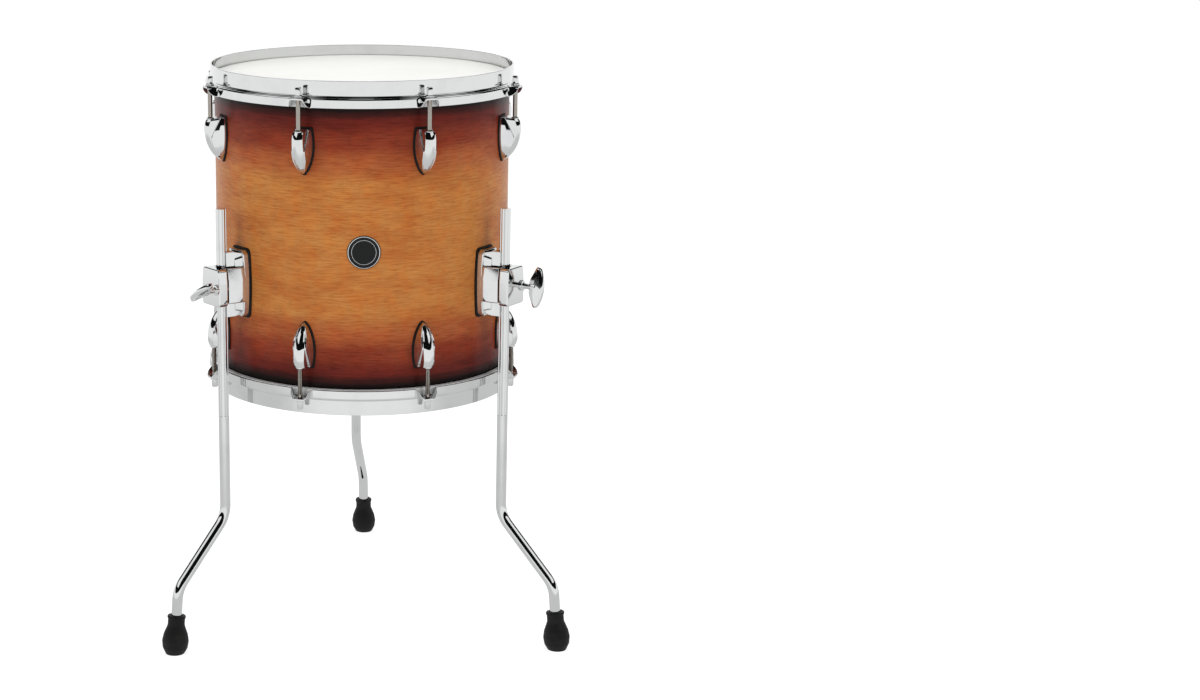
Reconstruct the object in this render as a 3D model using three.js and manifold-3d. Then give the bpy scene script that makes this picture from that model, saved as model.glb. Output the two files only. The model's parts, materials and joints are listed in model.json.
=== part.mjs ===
// A floor tom: a wooden shell with a head, a flanged hoop, eight lugs and eight tension rods
// at each end, standing on three bent legs that slide in clamps on its side.
// Millimetres, +Z up. The front of the drum faces -Y, and an azimuth turns from there to +X.

import * as THREE from 'three';
import { mergeVertices } from 'three/addons/utils/BufferGeometryUtils.js';
import Module from 'manifold-3d';

const wasm = await Module();
wasm.setup();

// Shell
const SHELL_DIAMETER = 355.6;
const SHELL_DEPTH = 364.6;
const SHELL_WALL = 6;
const EDGE_CHAMFER = 1.5;

// Gap between pieces that touch, and the reach of a cut past what it cuts
const SEAT_GAP = 0.3;
const OVERCUT = 4;

// Heads
const FILM_THICKNESS = 0.5;
const FLESH_HOOP_CLEARANCE = 1.1;
const FLESH_HOOP_LIP = 1.4;
const FLESH_HOOP_DROP = 8;
const FLESH_HOOP_WIDTH = 6.8;
const FLESH_HOOP_HEIGHT = 9.4;

// Hoops, pressed from sheet
const HOOP_SHEET = 2.3;
const HOOP_WALL_HEIGHT = 21.1;
const HOOP_SHOULDER_RADIUS = 1.3;
const COLLAR_CLEARANCE = 1;
const COLLAR_DROP = 9.4;
const EAR_HALF_SPREAD = 20;
const EAR_HALF_FLAT = 5;
const EAR_LIP = 6.6;
const EAR_STEP_SHARES = [0.25, 0.55, 1];
const HOOP_PITCH_SHARES = [1 / 3, 1 / 2];

// Tension rods
const ROD_COUNT = 8;
const ROD_STANDOFF = 5.4;
const ROD_DIAMETER = 5.5;
const ROD_ENGAGEMENT = 27;
const WASHER_RADIUS = 5.3;
const WASHER_THICKNESS = 1;
const FLANGE_RADIUS = 4.7;
const FLANGE_THICKNESS = 1.6;
const KEY_HEAD_WIDTH = 5.9;
const KEY_HEAD_HEIGHT = 9.2;

// Lugs
const LUG_DROP = 42.3;
const LUG_LENGTH = 52.6;
const LUG_HALF_WIDTH = 12.9;
const LUG_RIB_HALF_WIDTH = 7.3;
const LUG_ROD_COVER = 6;
const LUG_EDGE_HEIGHT = 4.2;
const LUG_EDGE_SOFTENING = 2.4;
const LUG_END_SLANT = 2.4;
const LUG_COLLAR_RADIUS = 4.6;
const LUG_COLLAR_HEIGHT = 2.6;
const LUG_BORE_SPARE = 1.5;
const LUG_LEVEL_SHARES = [0, 0.16, 0.4, 0.64, 0.86, 0.985];
const LUG_WIDEST_SHARE = 0.36;
const LUG_CREST_SHARE = 0.19;
const LUG_CREASE_END_SHARE = 0.47;
const LUG_END_NARROWING_SHARE = 0.3;
const LUG_RIB_NARROWING_SHARE = 0.07;
const LUG_CREST_ROUNDING_SHARE = 0.1;
const LUG_CREASE_WIDTH_SHARES = [0.95, 1.05];
const LUG_CREASE_RISE_SHARES = [1.3, 0.9];
const LUG_FLOOR_RISE_SHARE = 0.92;
const LUG_RIB_TOP_SHARE = 0.9;
const LUG_LEAST_EDGE_SHARE = 0.6;
const LUG_LEAST_SOFTENING_SHARE = 0.15;
const LUG_TAPER_POWERS = { width: 0.8, rib: 0.7, crown: 0.72 };

// Badge and vent
const BADGE_DIAMETER = 39;
const BADGE_THICKNESS = 1.4;
const BADGE_DROP = 2;
const VENT_AZIMUTH = 135;
const VENT_BORE_DIAMETER = 10;
const VENT_TUBE_WALL = 0.8;
const VENT_FLANGE_DIAMETER = 18;
const VENT_FLANGE_THICKNESS = 1.2;

// Legs: azimuth of each bracket, turn of the leg in its clamp and of the wing on its screw
const LEG_STATIONS = [
  { side: 'left', azimuth: -54, legTurn: 7, wingTurn: 31 },
  { side: 'right', azimuth: 54, legTurn: 0, wingTurn: 80 },
  { side: 'rear', azimuth: 181.5, legTurn: -9.5, wingTurn: 55 },
];
const LEG_DIAMETER = 12.7;
const LEG_STANDOFF = 28.2;
const LEG_TOP_HEIGHT = 39;
const FLUTE_END_DEPTH = 215;
const FLUTE_COUNT = 8;
const FLUTE_DEPTH = 0.55;
const UPPER_BEND_DEPTH = 337.5;
const BEND_RADIUS = 35;
const LEG_OFFSET = 76;
const LEG_SLOPE = 45;
const LEG_LEAN = 5;
const LOWER_RUN_HEIGHT = 31.5;
const LEG_END_HEIGHT = 9;

// Feet
const FOOT_LENGTH = 47;
const FOOT_NECK_RADIUS = 10.2;
const FOOT_LIP_RADIUS = 11;
const FOOT_BULB_RADIUS = 16.1;
const FOOT_TREAD_RADIUS = 8;
const FOOT_BULB_SHARES = [[0.68, 0.05], [0.93, 0.17], [1, 0.34], [0.86, 0.52]];
const FOOT_NECK_SHARES = [0.78, 0.92];
const FOOT_LIP_SHARE = 0.96;

// Brackets, on the bracket's own centre height
const BRACKET_DROP = 51.3;
const BRACKET_HEIGHT = 84;
const BRACKET_HALF_WIDTH = 20;
const BRACKET_END_HALF_WIDTH = 17.5;
const BRACKET_CORNER = 5;
const GASKET_THICKNESS = 2;
const CASTING_INSET = 2;
const PAD_HEIGHT = 6.5;
const PAD_DRAFT = 1.8;
const PEDESTAL_HEIGHT = 15;
const PEDESTAL_HALF_WIDTH = 15;
const PEDESTAL_HALF_HEIGHT = 35;
const PEDESTAL_DRAFT = 2;
const HORN_HALF_WIDTH = 12;
const HORN_HALF_HEIGHT = 39;
const HORN_CHAMFER = 3;
const CLAMP_BLOCK_HALF_WIDTH = 18.2;
const CLAMP_BLOCK_HALF_HEIGHT = 21;
const CLAMP_GAP = 1.6;
const GROOVE_HALF_WIDTH = 8.6;
const CAP_HALF_WIDTH = 18.5;
const CAP_HALF_HEIGHT = 22.5;
const CAP_FACE_OFFSET = 3.2;
const CAP_THICKNESS = 12.8;
const CAP_CORNER = 4;
const CAP_BEVEL = 2;
const CAP_CENTRE_DROP = 1.2;
const SCREW_OFFSET = 13;
const SCREW_DROP = 2.7;
const SCREW_DIAMETER = 7;
const SCREW_ENGAGEMENT = 17;
const SCREW_COLLAR_RADIUS = 6.2;
const SCREW_COLLAR_THICKNESS = 2.6;
const SCREW_NECK = 8.5;
const WING_HALF_SPAN = 24.5;
const WING_HUB_HALF_WIDTH = 5.5;
const WING_HEIGHT = 19;
const WING_TIP_RISE = 7;
const WING_TIP_HEIGHT = 5;
const WING_THICKNESS = 7.6;

// Facets
const RING_SIDES = 48;
const SEAT_SIDES = 120;
const BORE_SIDES = 8;
const LEG_SIDES = 12;
const FOOT_SIDES = 12;
const DISC_SIDES = 24;
const BEND_STEPS = 3;
const CORNER_SEGMENTS = 3;

const DEGREE = Math.PI / 180;
const HALF_TURN = Math.PI;
const QUARTER_TURN = Math.PI / 2;
const FULL_TURN = 2 * Math.PI;

// Radii and heights that the sizes above lead to
const shellRadius = SHELL_DIAMETER / 2;
const edgeHeight = SHELL_DEPTH / 2;
const seatRadius = shellRadius + SEAT_GAP;
const fleshInside = shellRadius + FLESH_HOOP_CLEARANCE;
const filmRadius = fleshInside + FLESH_HOOP_LIP;
const fleshOutside = fleshInside + FLESH_HOOP_WIDTH;
const fleshTop = edgeHeight - FLESH_HOOP_DROP;
const shoulderUnder = fleshTop + SEAT_GAP;
const shoulderTop = shoulderUnder + HOOP_SHEET;
const hoopWallInside = filmRadius + SEAT_GAP;
const collarInside = fleshOutside + COLLAR_CLEARANCE;
const rodCircle = collarInside + HOOP_SHEET + ROD_STANDOFF;
const rodPitch = FULL_TURN / ROD_COUNT;
const rodRadius = ROD_DIAMETER / 2;
const lugTop = edgeHeight - LUG_DROP;
const lugRise = rodCircle + LUG_ROD_COVER - seatRadius;
const legCircle = shellRadius + LEG_STANDOFF;
const legRadius = LEG_DIAMETER / 2;
const lowerBendHeight = -UPPER_BEND_DEPTH - LEG_OFFSET / Math.tan(LEG_SLOPE * DEGREE);
const floorHeight = lowerBendHeight - LOWER_RUN_HEIGHT - FOOT_LENGTH;

const chrome = new THREE.MeshStandardMaterial({ color: 0xd9dbdc, roughness: 0.08, metalness: 1 });
const steel = new THREE.MeshStandardMaterial({ color: 0xb9b8b2, roughness: 0.3, metalness: 1 });
const aluminium = new THREE.MeshStandardMaterial({ color: 0xc9cacb, roughness: 0.35, metalness: 1 });
const maple = new THREE.MeshStandardMaterial({ color: 0xb5702f, roughness: 0.35, metalness: 0 });
const whiteFilm = new THREE.MeshStandardMaterial({ color: 0xf4f4f2, roughness: 0.15, metalness: 0 });
const clearFilm = new THREE.MeshStandardMaterial({ color: 0xe6eaec, roughness: 0.1, metalness: 0 });
const rubber = new THREE.MeshStandardMaterial({ color: 0x161617, roughness: 0.7, metalness: 0 });
const enamel = new THREE.MeshStandardMaterial({ color: 0x141618, roughness: 0.25, metalness: 0.2 });

// Turns a geometry into a solid: vertices are welded, faces with no area go and all point out.
function toSolid(geometry) {
  const bare = new THREE.BufferGeometry();
  bare.setAttribute('position', geometry.getAttribute('position'));
  bare.setIndex(geometry.getIndex());
  const welded = mergeVertices(bare);
  const place = welded.getAttribute('position');
  const corner = welded.getIndex().array;
  const triangles = [];
  let volume = 0;
  const [a, b, c] = [new THREE.Vector3(), new THREE.Vector3(), new THREE.Vector3()];
  for (let i = 0; i < corner.length; i += 3) {
    const [p, q, r] = [corner[i], corner[i + 1], corner[i + 2]];
    if (p === q || q === r || r === p) continue;
    triangles.push([p, q, r]);
    a.fromBufferAttribute(place, p);
    b.fromBufferAttribute(place, q);
    c.fromBufferAttribute(place, r);
    volume += a.dot(b.cross(c));
  }
  const facing = volume < 0 ? triangles.map(([p, q, r]) => [p, r, q]) : triangles;
  return new wasm.Manifold(new wasm.Mesh({
    numProp: 3,
    vertProperties: Float32Array.from(place.array),
    triVerts: Uint32Array.from(facing.flat()),
  }));
}

function toMesh(name, solid, material) {
  const { vertProperties, triVerts } = solid.getMesh();
  const geometry = new THREE.BufferGeometry();
  geometry.setAttribute('position', new THREE.BufferAttribute(vertProperties, 3));
  geometry.setIndex(new THREE.BufferAttribute(triVerts, 1));
  geometry.computeVertexNormals();
  const mesh = new THREE.Mesh(geometry, material.clone());
  mesh.name = name;
  return mesh;
}

function join(first, ...others) {
  return others.reduce((whole, other) => whole.add(other), first);
}

// A solid of revolution from [radius, height] points: about Z, or out along -Y.
function revolvedGeometry(profile, sides) {
  const points = profile.map(([radius, height]) => new THREE.Vector2(radius, height));
  const onAxis = points[0].x === 0 && points.at(-1).x === 0;
  if (!onAxis) points.push(points[0].clone());
  return new THREE.LatheGeometry(points, sides);
}

function revolve(profile, sides) {
  return toSolid(revolvedGeometry(profile, sides).rotateX(QUARTER_TURN));
}

function revolveOutwards(profile, sides) {
  return toSolid(revolvedGeometry(profile, sides).rotateZ(HALF_TURN));
}

// The upright cylinder of a polygon that clears a circle of the given radius.
function clearingCylinder(radius, low, high, sides) {
  const around = radius / Math.cos(HALF_TURN / sides);
  return revolve([[0, low], [around, low], [around, high], [0, high]], sides);
}

// An outline in the plane of X and Z, extruded outwards from one radius to another.
function prismOutwards(shape, from, to) {
  const options = { depth: to - from, bevelEnabled: false, curveSegments: CORNER_SEGMENTS };
  const geometry = new THREE.ExtrudeGeometry(shape, options);
  return toSolid(geometry.translate(0, 0, from).rotateX(QUARTER_TURN));
}

// An outline in the plane of X and Y, extruded from one height to another.
function prismUp(shape, low, high, segments = CORNER_SEGMENTS) {
  const options = { depth: high - low, bevelEnabled: false, curveSegments: segments };
  return toSolid(new THREE.ExtrudeGeometry(shape, options).translate(0, 0, low));
}

// An outline of [radius, height] points, extruded across the radius by a half width each way.
function prismAcross(points, halfWidth) {
  const shape = new THREE.Shape(points.map(([radius, height]) => new THREE.Vector2(radius, height)));
  const geometry = new THREE.ExtrudeGeometry(shape, { depth: 2 * halfWidth, bevelEnabled: false });
  const across = new THREE.Matrix4().makeBasis(
    new THREE.Vector3(0, -1, 0), new THREE.Vector3(0, 0, 1), new THREE.Vector3(1, 0, 0));
  return toSolid(geometry.translate(0, 0, -halfWidth).applyMatrix4(across));
}

// Triangles over a flat ring of points, in the order of the ring.
function capTriangles(ring) {
  const normal = new THREE.Vector3();
  ring.forEach((point, i) => normal.add(point.clone().cross(ring[(i + 1) % ring.length])));
  const size = normal.toArray().map(Math.abs);
  const [u, v] = [['y', 'z'], ['x', 'z'], ['x', 'y']][size.indexOf(Math.max(...size))];
  const flat = ring.map((point) => new THREE.Vector2(point[u], point[v]));
  const turn = Math.sign(THREE.ShapeUtils.area(flat));
  return THREE.ShapeUtils.triangulateShape(flat, []).map((triangle) => {
    const same = Math.sign(THREE.ShapeUtils.area(triangle.map((i) => flat[i]))) === turn;
    return same ? triangle : [...triangle].reverse();
  });
}

// A skin through rings of points, closed by its two end rings or round on itself.
function loft(rings, round = false) {
  const count = rings[0].length;
  const places = rings.flat().flatMap((point) => point.toArray());
  const index = [];
  const spans = round ? rings.length : rings.length - 1;
  for (let i = 0; i < spans; i += 1) {
    const here = i * count;
    const next = ((i + 1) % rings.length) * count;
    for (let j = 0; j < count; j += 1) {
      const k = (j + 1) % count;
      index.push(here + j, here + k, next + k, here + j, next + k, next + j);
    }
  }
  if (!round) {
    const last = (rings.length - 1) * count;
    capTriangles(rings[0]).forEach(([p, q, r]) => index.push(p, r, q));
    capTriangles(rings.at(-1)).forEach((triangle) => index.push(...triangle.map((i) => i + last)));
  }
  const geometry = new THREE.BufferGeometry();
  geometry.setAttribute('position', new THREE.Float32BufferAttribute(places, 3));
  geometry.setIndex(index);
  return toSolid(geometry);
}

function smooth(share) {
  const t = THREE.MathUtils.clamp(share, 0, 1);
  return t * t * (3 - 2 * t);
}

// The wall with a bearing edge at each end, and the vent hole.
function shellSolid() {
  const inside = shellRadius - SHELL_WALL;
  const slope = SHELL_WALL - EDGE_CHAMFER;
  const wall = revolve([
    [shellRadius, EDGE_CHAMFER - edgeHeight],
    [shellRadius, edgeHeight - EDGE_CHAMFER],
    [shellRadius - EDGE_CHAMFER, edgeHeight],
    [inside, edgeHeight - slope],
    [inside, slope - edgeHeight],
    [shellRadius - EDGE_CHAMFER, -edgeHeight],
  ], RING_SIDES);
  const radius = VENT_BORE_DIAMETER / 2 + VENT_TUBE_WALL + SEAT_GAP;
  const around = radius / Math.cos(HALF_TURN / LEG_SIDES);
  const hole = revolveOutwards([
    [0, inside - OVERCUT], [around, inside - OVERCUT],
    [around, shellRadius + OVERCUT], [0, shellRadius + OVERCUT],
  ], LEG_SIDES);
  return wall.subtract(hole.rotate([0, 0, VENT_AZIMUTH]));
}

// A grommet through the wall, with a flange outside and a rolled one inside.
function ventEyelet() {
  const bore = VENT_BORE_DIAMETER / 2;
  const tube = bore + VENT_TUBE_WALL;
  const flange = VENT_FLANGE_DIAMETER / 2;
  const flats = (shellRadius - SHELL_WALL) * Math.cos(HALF_TURN / RING_SIDES);
  const innerSeat = Math.sqrt(flats ** 2 - flange ** 2) - SEAT_GAP;
  return revolveOutwards([
    [bore, seatRadius + VENT_FLANGE_THICKNESS],
    [flange, seatRadius + VENT_FLANGE_THICKNESS / 2],
    [flange, seatRadius],
    [tube, seatRadius],
    [tube, innerSeat],
    [flange, innerSeat],
    [flange, innerSeat - VENT_FLANGE_THICKNESS / 2],
    [bore, innerSeat - VENT_FLANGE_THICKNESS],
  ], LEG_SIDES);
}

// A part of the curved layer that lies on the shell, under an outline.
function layerOnShell(outline, thickness) {
  const reach = BRACKET_HEIGHT;
  const layer = revolve([
    [seatRadius, -reach], [seatRadius + thickness, -reach],
    [seatRadius + thickness, reach], [seatRadius, reach],
  ], SEAT_SIDES);
  return layer.intersect(outline);
}

function badgeSolid() {
  const disc = revolveOutwards([
    [0, shellRadius - OVERCUT], [BADGE_DIAMETER / 2, shellRadius - OVERCUT],
    [BADGE_DIAMETER / 2, shellRadius + OVERCUT], [0, shellRadius + OVERCUT],
  ], DISC_SIDES);
  return layerOnShell(disc, BADGE_THICKNESS);
}

// A drum head's film, flat over the bearing edge and out to the lip of its flesh hoop.
function filmSolid() {
  const under = edgeHeight + SEAT_GAP;
  const top = under + FILM_THICKNESS;
  return revolve([[0, top], [filmRadius, top], [filmRadius, under], [0, under]], RING_SIDES);
}

// The ring that holds the film's edge, with a lip up to it.
function fleshHoopSolid() {
  return revolve([
    [fleshInside, edgeHeight],
    [filmRadius, edgeHeight],
    [filmRadius, fleshTop],
    [fleshOutside, fleshTop],
    [fleshOutside, fleshTop - FLESH_HOOP_HEIGHT],
    [fleshInside, fleshTop - FLESH_HOOP_HEIGHT],
  ], RING_SIDES);
}

// The hoop's section: its wall, its shoulder, and a collar that swings out into an ear.
function hoopSection(swing) {
  const wallOutside = hoopWallInside + HOOP_SHEET;
  const top = shoulderUnder + HOOP_WALL_HEIGHT;
  const hingeRadius = collarInside + HOOP_SHEET / 2;
  const hingeHeight = shoulderUnder + swing * HOOP_SHEET / 2;
  const reach = THREE.MathUtils.lerp(COLLAR_DROP, rodCircle + EAR_LIP - hingeRadius, swing);
  const angle = swing * QUARTER_TURN;
  const along = [Math.sin(angle) * reach, -Math.cos(angle) * reach];
  const half = [Math.cos(angle) * HOOP_SHEET / 2, Math.sin(angle) * HOOP_SHEET / 2];
  return [
    [wallOutside, top],
    [wallOutside, shoulderTop + HOOP_SHOULDER_RADIUS],
    [wallOutside + HOOP_SHOULDER_RADIUS, shoulderTop],
    [hingeRadius, shoulderTop],
    [hingeRadius + along[0] + half[0], hingeHeight + along[1] + half[1]],
    [hingeRadius + along[0] - half[0], hingeHeight + along[1] - half[1]],
    [hingeRadius - HOOP_SHEET / 2, shoulderUnder],
    [hoopWallInside, shoulderUnder],
    [hoopWallInside, top],
  ];
}

function hoopSolid() {
  const spread = EAR_HALF_SPREAD / collarInside;
  const side = [
    ...EAR_STEP_SHARES.map((share) => share * spread),
    ...HOOP_PITCH_SHARES.map((share) => share * rodPitch),
  ];
  const offsets = [...side.slice(0, -1).reverse().map((angle) => -angle), ...side];
  const rings = [];
  for (let ear = 0; ear < ROD_COUNT; ear += 1) {
    for (const offset of offsets) {
      const azimuth = (ear + 1 / 2) * rodPitch + offset;
      const arc = Math.abs(offset) * collarInside;
      const swing = smooth((EAR_HALF_SPREAD - arc) / (EAR_HALF_SPREAD - EAR_HALF_FLAT));
      const across = new THREE.Vector3(Math.sin(azimuth), -Math.cos(azimuth), 0);
      rings.push(hoopSection(swing).map(([radius, height]) => (
        across.clone().multiplyScalar(radius).setZ(height))));
    }
  }
  const hole = clearingCylinder(
    rodRadius + SEAT_GAP, shoulderUnder - COLLAR_DROP, shoulderTop + OVERCUT, BORE_SIDES);
  let hoop = loft(rings, true);
  for (let ear = 0; ear < ROD_COUNT; ear += 1) {
    const turn = (ear + 1 / 2) * rodPitch / DEGREE;
    hoop = hoop.subtract(hole.translate([0, -rodCircle, 0]).rotate([0, 0, turn]));
  }
  return hoop;
}

// A tension rod on its own axis: shaft, washer, flange and square key head.
function rodSolid() {
  const washerUnder = shoulderTop + SEAT_GAP;
  const flangeUnder = washerUnder + WASHER_THICKNESS;
  const headUnder = flangeUnder + FLANGE_THICKNESS;
  const shaft = revolve([
    [0, lugTop - ROD_ENGAGEMENT],
    [rodRadius, lugTop - ROD_ENGAGEMENT],
    [rodRadius, washerUnder],
    [WASHER_RADIUS, washerUnder],
    [WASHER_RADIUS, flangeUnder],
    [FLANGE_RADIUS, flangeUnder],
    [FLANGE_RADIUS, headUnder],
    [0, headUnder],
  ], BORE_SIDES);
  const half = KEY_HEAD_WIDTH / 2;
  const square = new THREE.Shape([
    new THREE.Vector2(-half, -half), new THREE.Vector2(half, -half),
    new THREE.Vector2(half, half), new THREE.Vector2(-half, half),
  ]);
  return shaft.add(prismUp(square, flangeUnder, headUnder + KEY_HEAD_HEIGHT));
}

// One level of the lug, seen from above: its seat, its edge, the crease, the recess and the rib.
function lugSection(share) {
  const { lerp } = THREE.MathUtils;
  const narrowing = (size, power, endShare) => {
    const past = (share - LUG_WIDEST_SHARE) / (1 - LUG_WIDEST_SHARE);
    const before = 1 - share / LUG_WIDEST_SHARE;
    return size * (past > 0 ? (1 - past ** 2) ** power : 1 - endShare * before ** 2);
  };
  const halfWidth = narrowing(LUG_HALF_WIDTH, LUG_TAPER_POWERS.width, LUG_END_NARROWING_SHARE);
  const rib = narrowing(LUG_RIB_HALF_WIDTH, LUG_TAPER_POWERS.rib, LUG_RIB_NARROWING_SHARE);
  const pastCrest = Math.max(0, (share - LUG_CREST_SHARE) / (1 - LUG_CREST_SHARE));
  const beforeCrest = Math.max(0, 1 - share / LUG_CREST_SHARE);
  const endRounding = LUG_CREST_ROUNDING_SHARE * beforeCrest ** 2;
  const crown = lugRise * ((1 - pastCrest ** 2) ** LUG_TAPER_POWERS.crown - endRounding);
  const edge = Math.min(LUG_EDGE_HEIGHT, crown * LUG_LEAST_EDGE_SHARE);
  const shoulder = crown - Math.min(LUG_EDGE_SOFTENING, crown * LUG_LEAST_SOFTENING_SHARE);
  const merge = Math.min(1, share / LUG_CREASE_END_SHARE);
  const [creaseStart, creaseEnd] = LUG_CREASE_WIDTH_SHARES;
  const [riseStart, riseEnd] = LUG_CREASE_RISE_SHARES;
  const endHalf = LUG_HALF_WIDTH * (1 - LUG_END_NARROWING_SHARE);
  const creaseHalf = lerp(endHalf * creaseStart, rib * creaseEnd, merge);
  const creaseHeight = lerp(edge * riseStart, shoulder * riseEnd, merge);
  const recessHeight = lerp(edge, shoulder * LUG_FLOOR_RISE_SHARE, merge);
  const seat = Math.sqrt(seatRadius ** 2 - halfWidth ** 2);
  const right = [
    [halfWidth, seat],
    [halfWidth, seat + edge],
    [creaseHalf, seat + creaseHeight],
    [rib, seatRadius + recessHeight],
    [rib * LUG_RIB_TOP_SHARE, seatRadius + shoulder],
  ];
  return [
    [0, seatRadius],
    ...right,
    [0, seatRadius + crown],
    ...right.map(([across, radius]) => [-across, radius]).reverse(),
  ];
}

// A lug, from its flat end down to its tip, bored for the rod.
function lugSolid() {
  const rings = LUG_LEVEL_SHARES.map((share) => {
    const slant = LUG_END_SLANT * Math.max(0, 1 - share / LUG_LEVEL_SHARES[2]);
    return lugSection(share).map(([across, radius]) => {
      const drop = slant * (radius - seatRadius) / lugRise;
      return new THREE.Vector3(across, -radius, lugTop - share * LUG_LENGTH - Math.max(0, drop));
    });
  });
  const collar = revolve([
    [0, lugTop - LUG_END_SLANT - LUG_COLLAR_HEIGHT],
    [LUG_COLLAR_RADIUS, lugTop - LUG_END_SLANT - LUG_COLLAR_HEIGHT],
    [LUG_COLLAR_RADIUS, lugTop - SEAT_GAP],
    [0, lugTop - SEAT_GAP],
  ], BORE_SIDES).translate([0, -rodCircle, 0]);
  const bore = clearingCylinder(
    rodRadius + SEAT_GAP, lugTop - ROD_ENGAGEMENT - LUG_BORE_SPARE, lugTop + OVERCUT, BORE_SIDES);
  return loft(rings).add(collar).subtract(bore.translate([0, -rodCircle, 0]));
}

// A head assembly for the top of the drum. The other end is the same, turned over.
function headGroup(name, filmMaterial, direction) {
  const group = new THREE.Group();
  group.add(toMesh(`${name}_head_film`, filmSolid(), filmMaterial));
  group.add(toMesh(`${name}_flesh_hoop`, fleshHoopSolid(), aluminium));
  group.add(toMesh(`${name}_hoop`, hoopSolid(), chrome));
  const rod = rodSolid();
  const lug = lugSolid();
  for (let i = 0; i < ROD_COUNT; i += 1) {
    const station = new THREE.Group();
    station.rotation.z = direction * (i + 1 / 2) * rodPitch;
    const rodMesh = toMesh(`${name}_tension_rod_${i + 1}`, rod, steel);
    rodMesh.position.y = -rodCircle;
    station.add(rodMesh);
    station.add(toMesh(`${name}_lug_${i + 1}`, lug, chrome));
    group.add(station);
  }
  return group;
}

// The outline of a bracket, inset by a margin: bowed sides and round corners.
function bracketOutline(margin) {
  const top = BRACKET_HEIGHT / 2 - margin;
  const end = BRACKET_END_HALF_WIDTH - margin;
  const bow = 2 * (BRACKET_HALF_WIDTH - margin) - end;
  const corner = BRACKET_CORNER;
  const shape = new THREE.Shape();
  shape.moveTo(corner - end, -top);
  shape.lineTo(end - corner, -top);
  shape.quadraticCurveTo(end, -top, end, corner - top);
  shape.quadraticCurveTo(bow, 0, end, top - corner);
  shape.quadraticCurveTo(end, top, end - corner, top);
  shape.lineTo(corner - end, top);
  shape.quadraticCurveTo(-end, top, -end, top - corner);
  shape.quadraticCurveTo(-bow, 0, -end, corner - top);
  shape.quadraticCurveTo(-end, -top, corner - end, -top);
  return shape;
}

// A block with drafted sides on an outline, from one radius out to another.
function draftedBlock(points, from, to, draft) {
  const atRadius = (radius, inset) => points.map((point) => new THREE.Vector3(
    point.x - Math.sign(point.x) * Math.min(inset, Math.abs(point.x)),
    -radius,
    point.y - Math.sign(point.y) * Math.min(inset, Math.abs(point.y)),
  ));
  return loft([atRadius(from, 0), atRadius(to, draft)]);
}

// An upright cut with a V at its bottom, open outwards. The V touches the leg's round.
function legGroove(halfHeight) {
  const apex = legCircle - (legRadius + SEAT_GAP) * Math.SQRT2;
  const open = legCircle + legRadius + OVERCUT;
  const shape = new THREE.Shape([
    new THREE.Vector2(0, -apex),
    new THREE.Vector2(-GROOVE_HALF_WIDTH, -apex - GROOVE_HALF_WIDTH),
    new THREE.Vector2(-GROOVE_HALF_WIDTH, -open),
    new THREE.Vector2(GROOVE_HALF_WIDTH, -open),
    new THREE.Vector2(GROOVE_HALF_WIDTH, -apex - GROOVE_HALF_WIDTH),
  ]);
  return prismUp(shape, -halfHeight - OVERCUT, halfHeight + OVERCUT);
}

const castingSeat = seatRadius + GASKET_THICKNESS + SEAT_GAP;
const capInside = legCircle + CAP_FACE_OFFSET;
const clampFace = capInside - CLAMP_GAP;

function bracketCasting() {
  const rectangle = (halfWidth, halfHeight) => [
    new THREE.Vector2(-halfWidth, -halfHeight), new THREE.Vector2(halfWidth, -halfHeight),
    new THREE.Vector2(halfWidth, halfHeight), new THREE.Vector2(-halfWidth, halfHeight),
  ];
  const root = castingSeat - OVERCUT;
  const padTop = castingSeat + PAD_HEIGHT;
  const pedestalTop = castingSeat + PEDESTAL_HEIGHT;
  const outline = bracketOutline(CASTING_INSET).getPoints(CORNER_SEGMENTS).slice(0, -1);
  const pad = draftedBlock(outline, root, padTop, PAD_DRAFT);
  const pedestal = draftedBlock(
    rectangle(PEDESTAL_HALF_WIDTH, PEDESTAL_HALF_HEIGHT), root, pedestalTop, PEDESTAL_DRAFT);
  const horns = prismAcross([
    [root, -HORN_HALF_HEIGHT + HORN_CHAMFER],
    [pedestalTop, -HORN_HALF_HEIGHT],
    [clampFace - HORN_CHAMFER, -HORN_HALF_HEIGHT],
    [clampFace, -HORN_HALF_HEIGHT + HORN_CHAMFER],
    [clampFace, HORN_HALF_HEIGHT - HORN_CHAMFER],
    [clampFace - HORN_CHAMFER, HORN_HALF_HEIGHT],
    [pedestalTop, HORN_HALF_HEIGHT],
    [root, HORN_HALF_HEIGHT - HORN_CHAMFER],
  ], HORN_HALF_WIDTH);
  const block = draftedBlock(
    rectangle(CLAMP_BLOCK_HALF_WIDTH, CLAMP_BLOCK_HALF_HEIGHT), padTop - OVERCUT, clampFace, 0);
  const seat = clearingCylinder(castingSeat, -BRACKET_HEIGHT, BRACKET_HEIGHT, SEAT_SIDES);
  const around = (SCREW_DIAMETER / 2 + SEAT_GAP) / Math.cos(HALF_TURN / BORE_SIDES);
  const depth = clampFace - SCREW_ENGAGEMENT - SEAT_GAP;
  const screwHole = revolveOutwards([
    [0, depth], [around, depth], [around, clampFace + OVERCUT], [0, clampFace + OVERCUT],
  ], BORE_SIDES).translate([SCREW_OFFSET, 0, -SCREW_DROP]);
  return join(pad, pedestal, horns, block)
    .subtract(seat)
    .subtract(legGroove(BRACKET_HEIGHT / 2))
    .subtract(screwHole);
}

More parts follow.
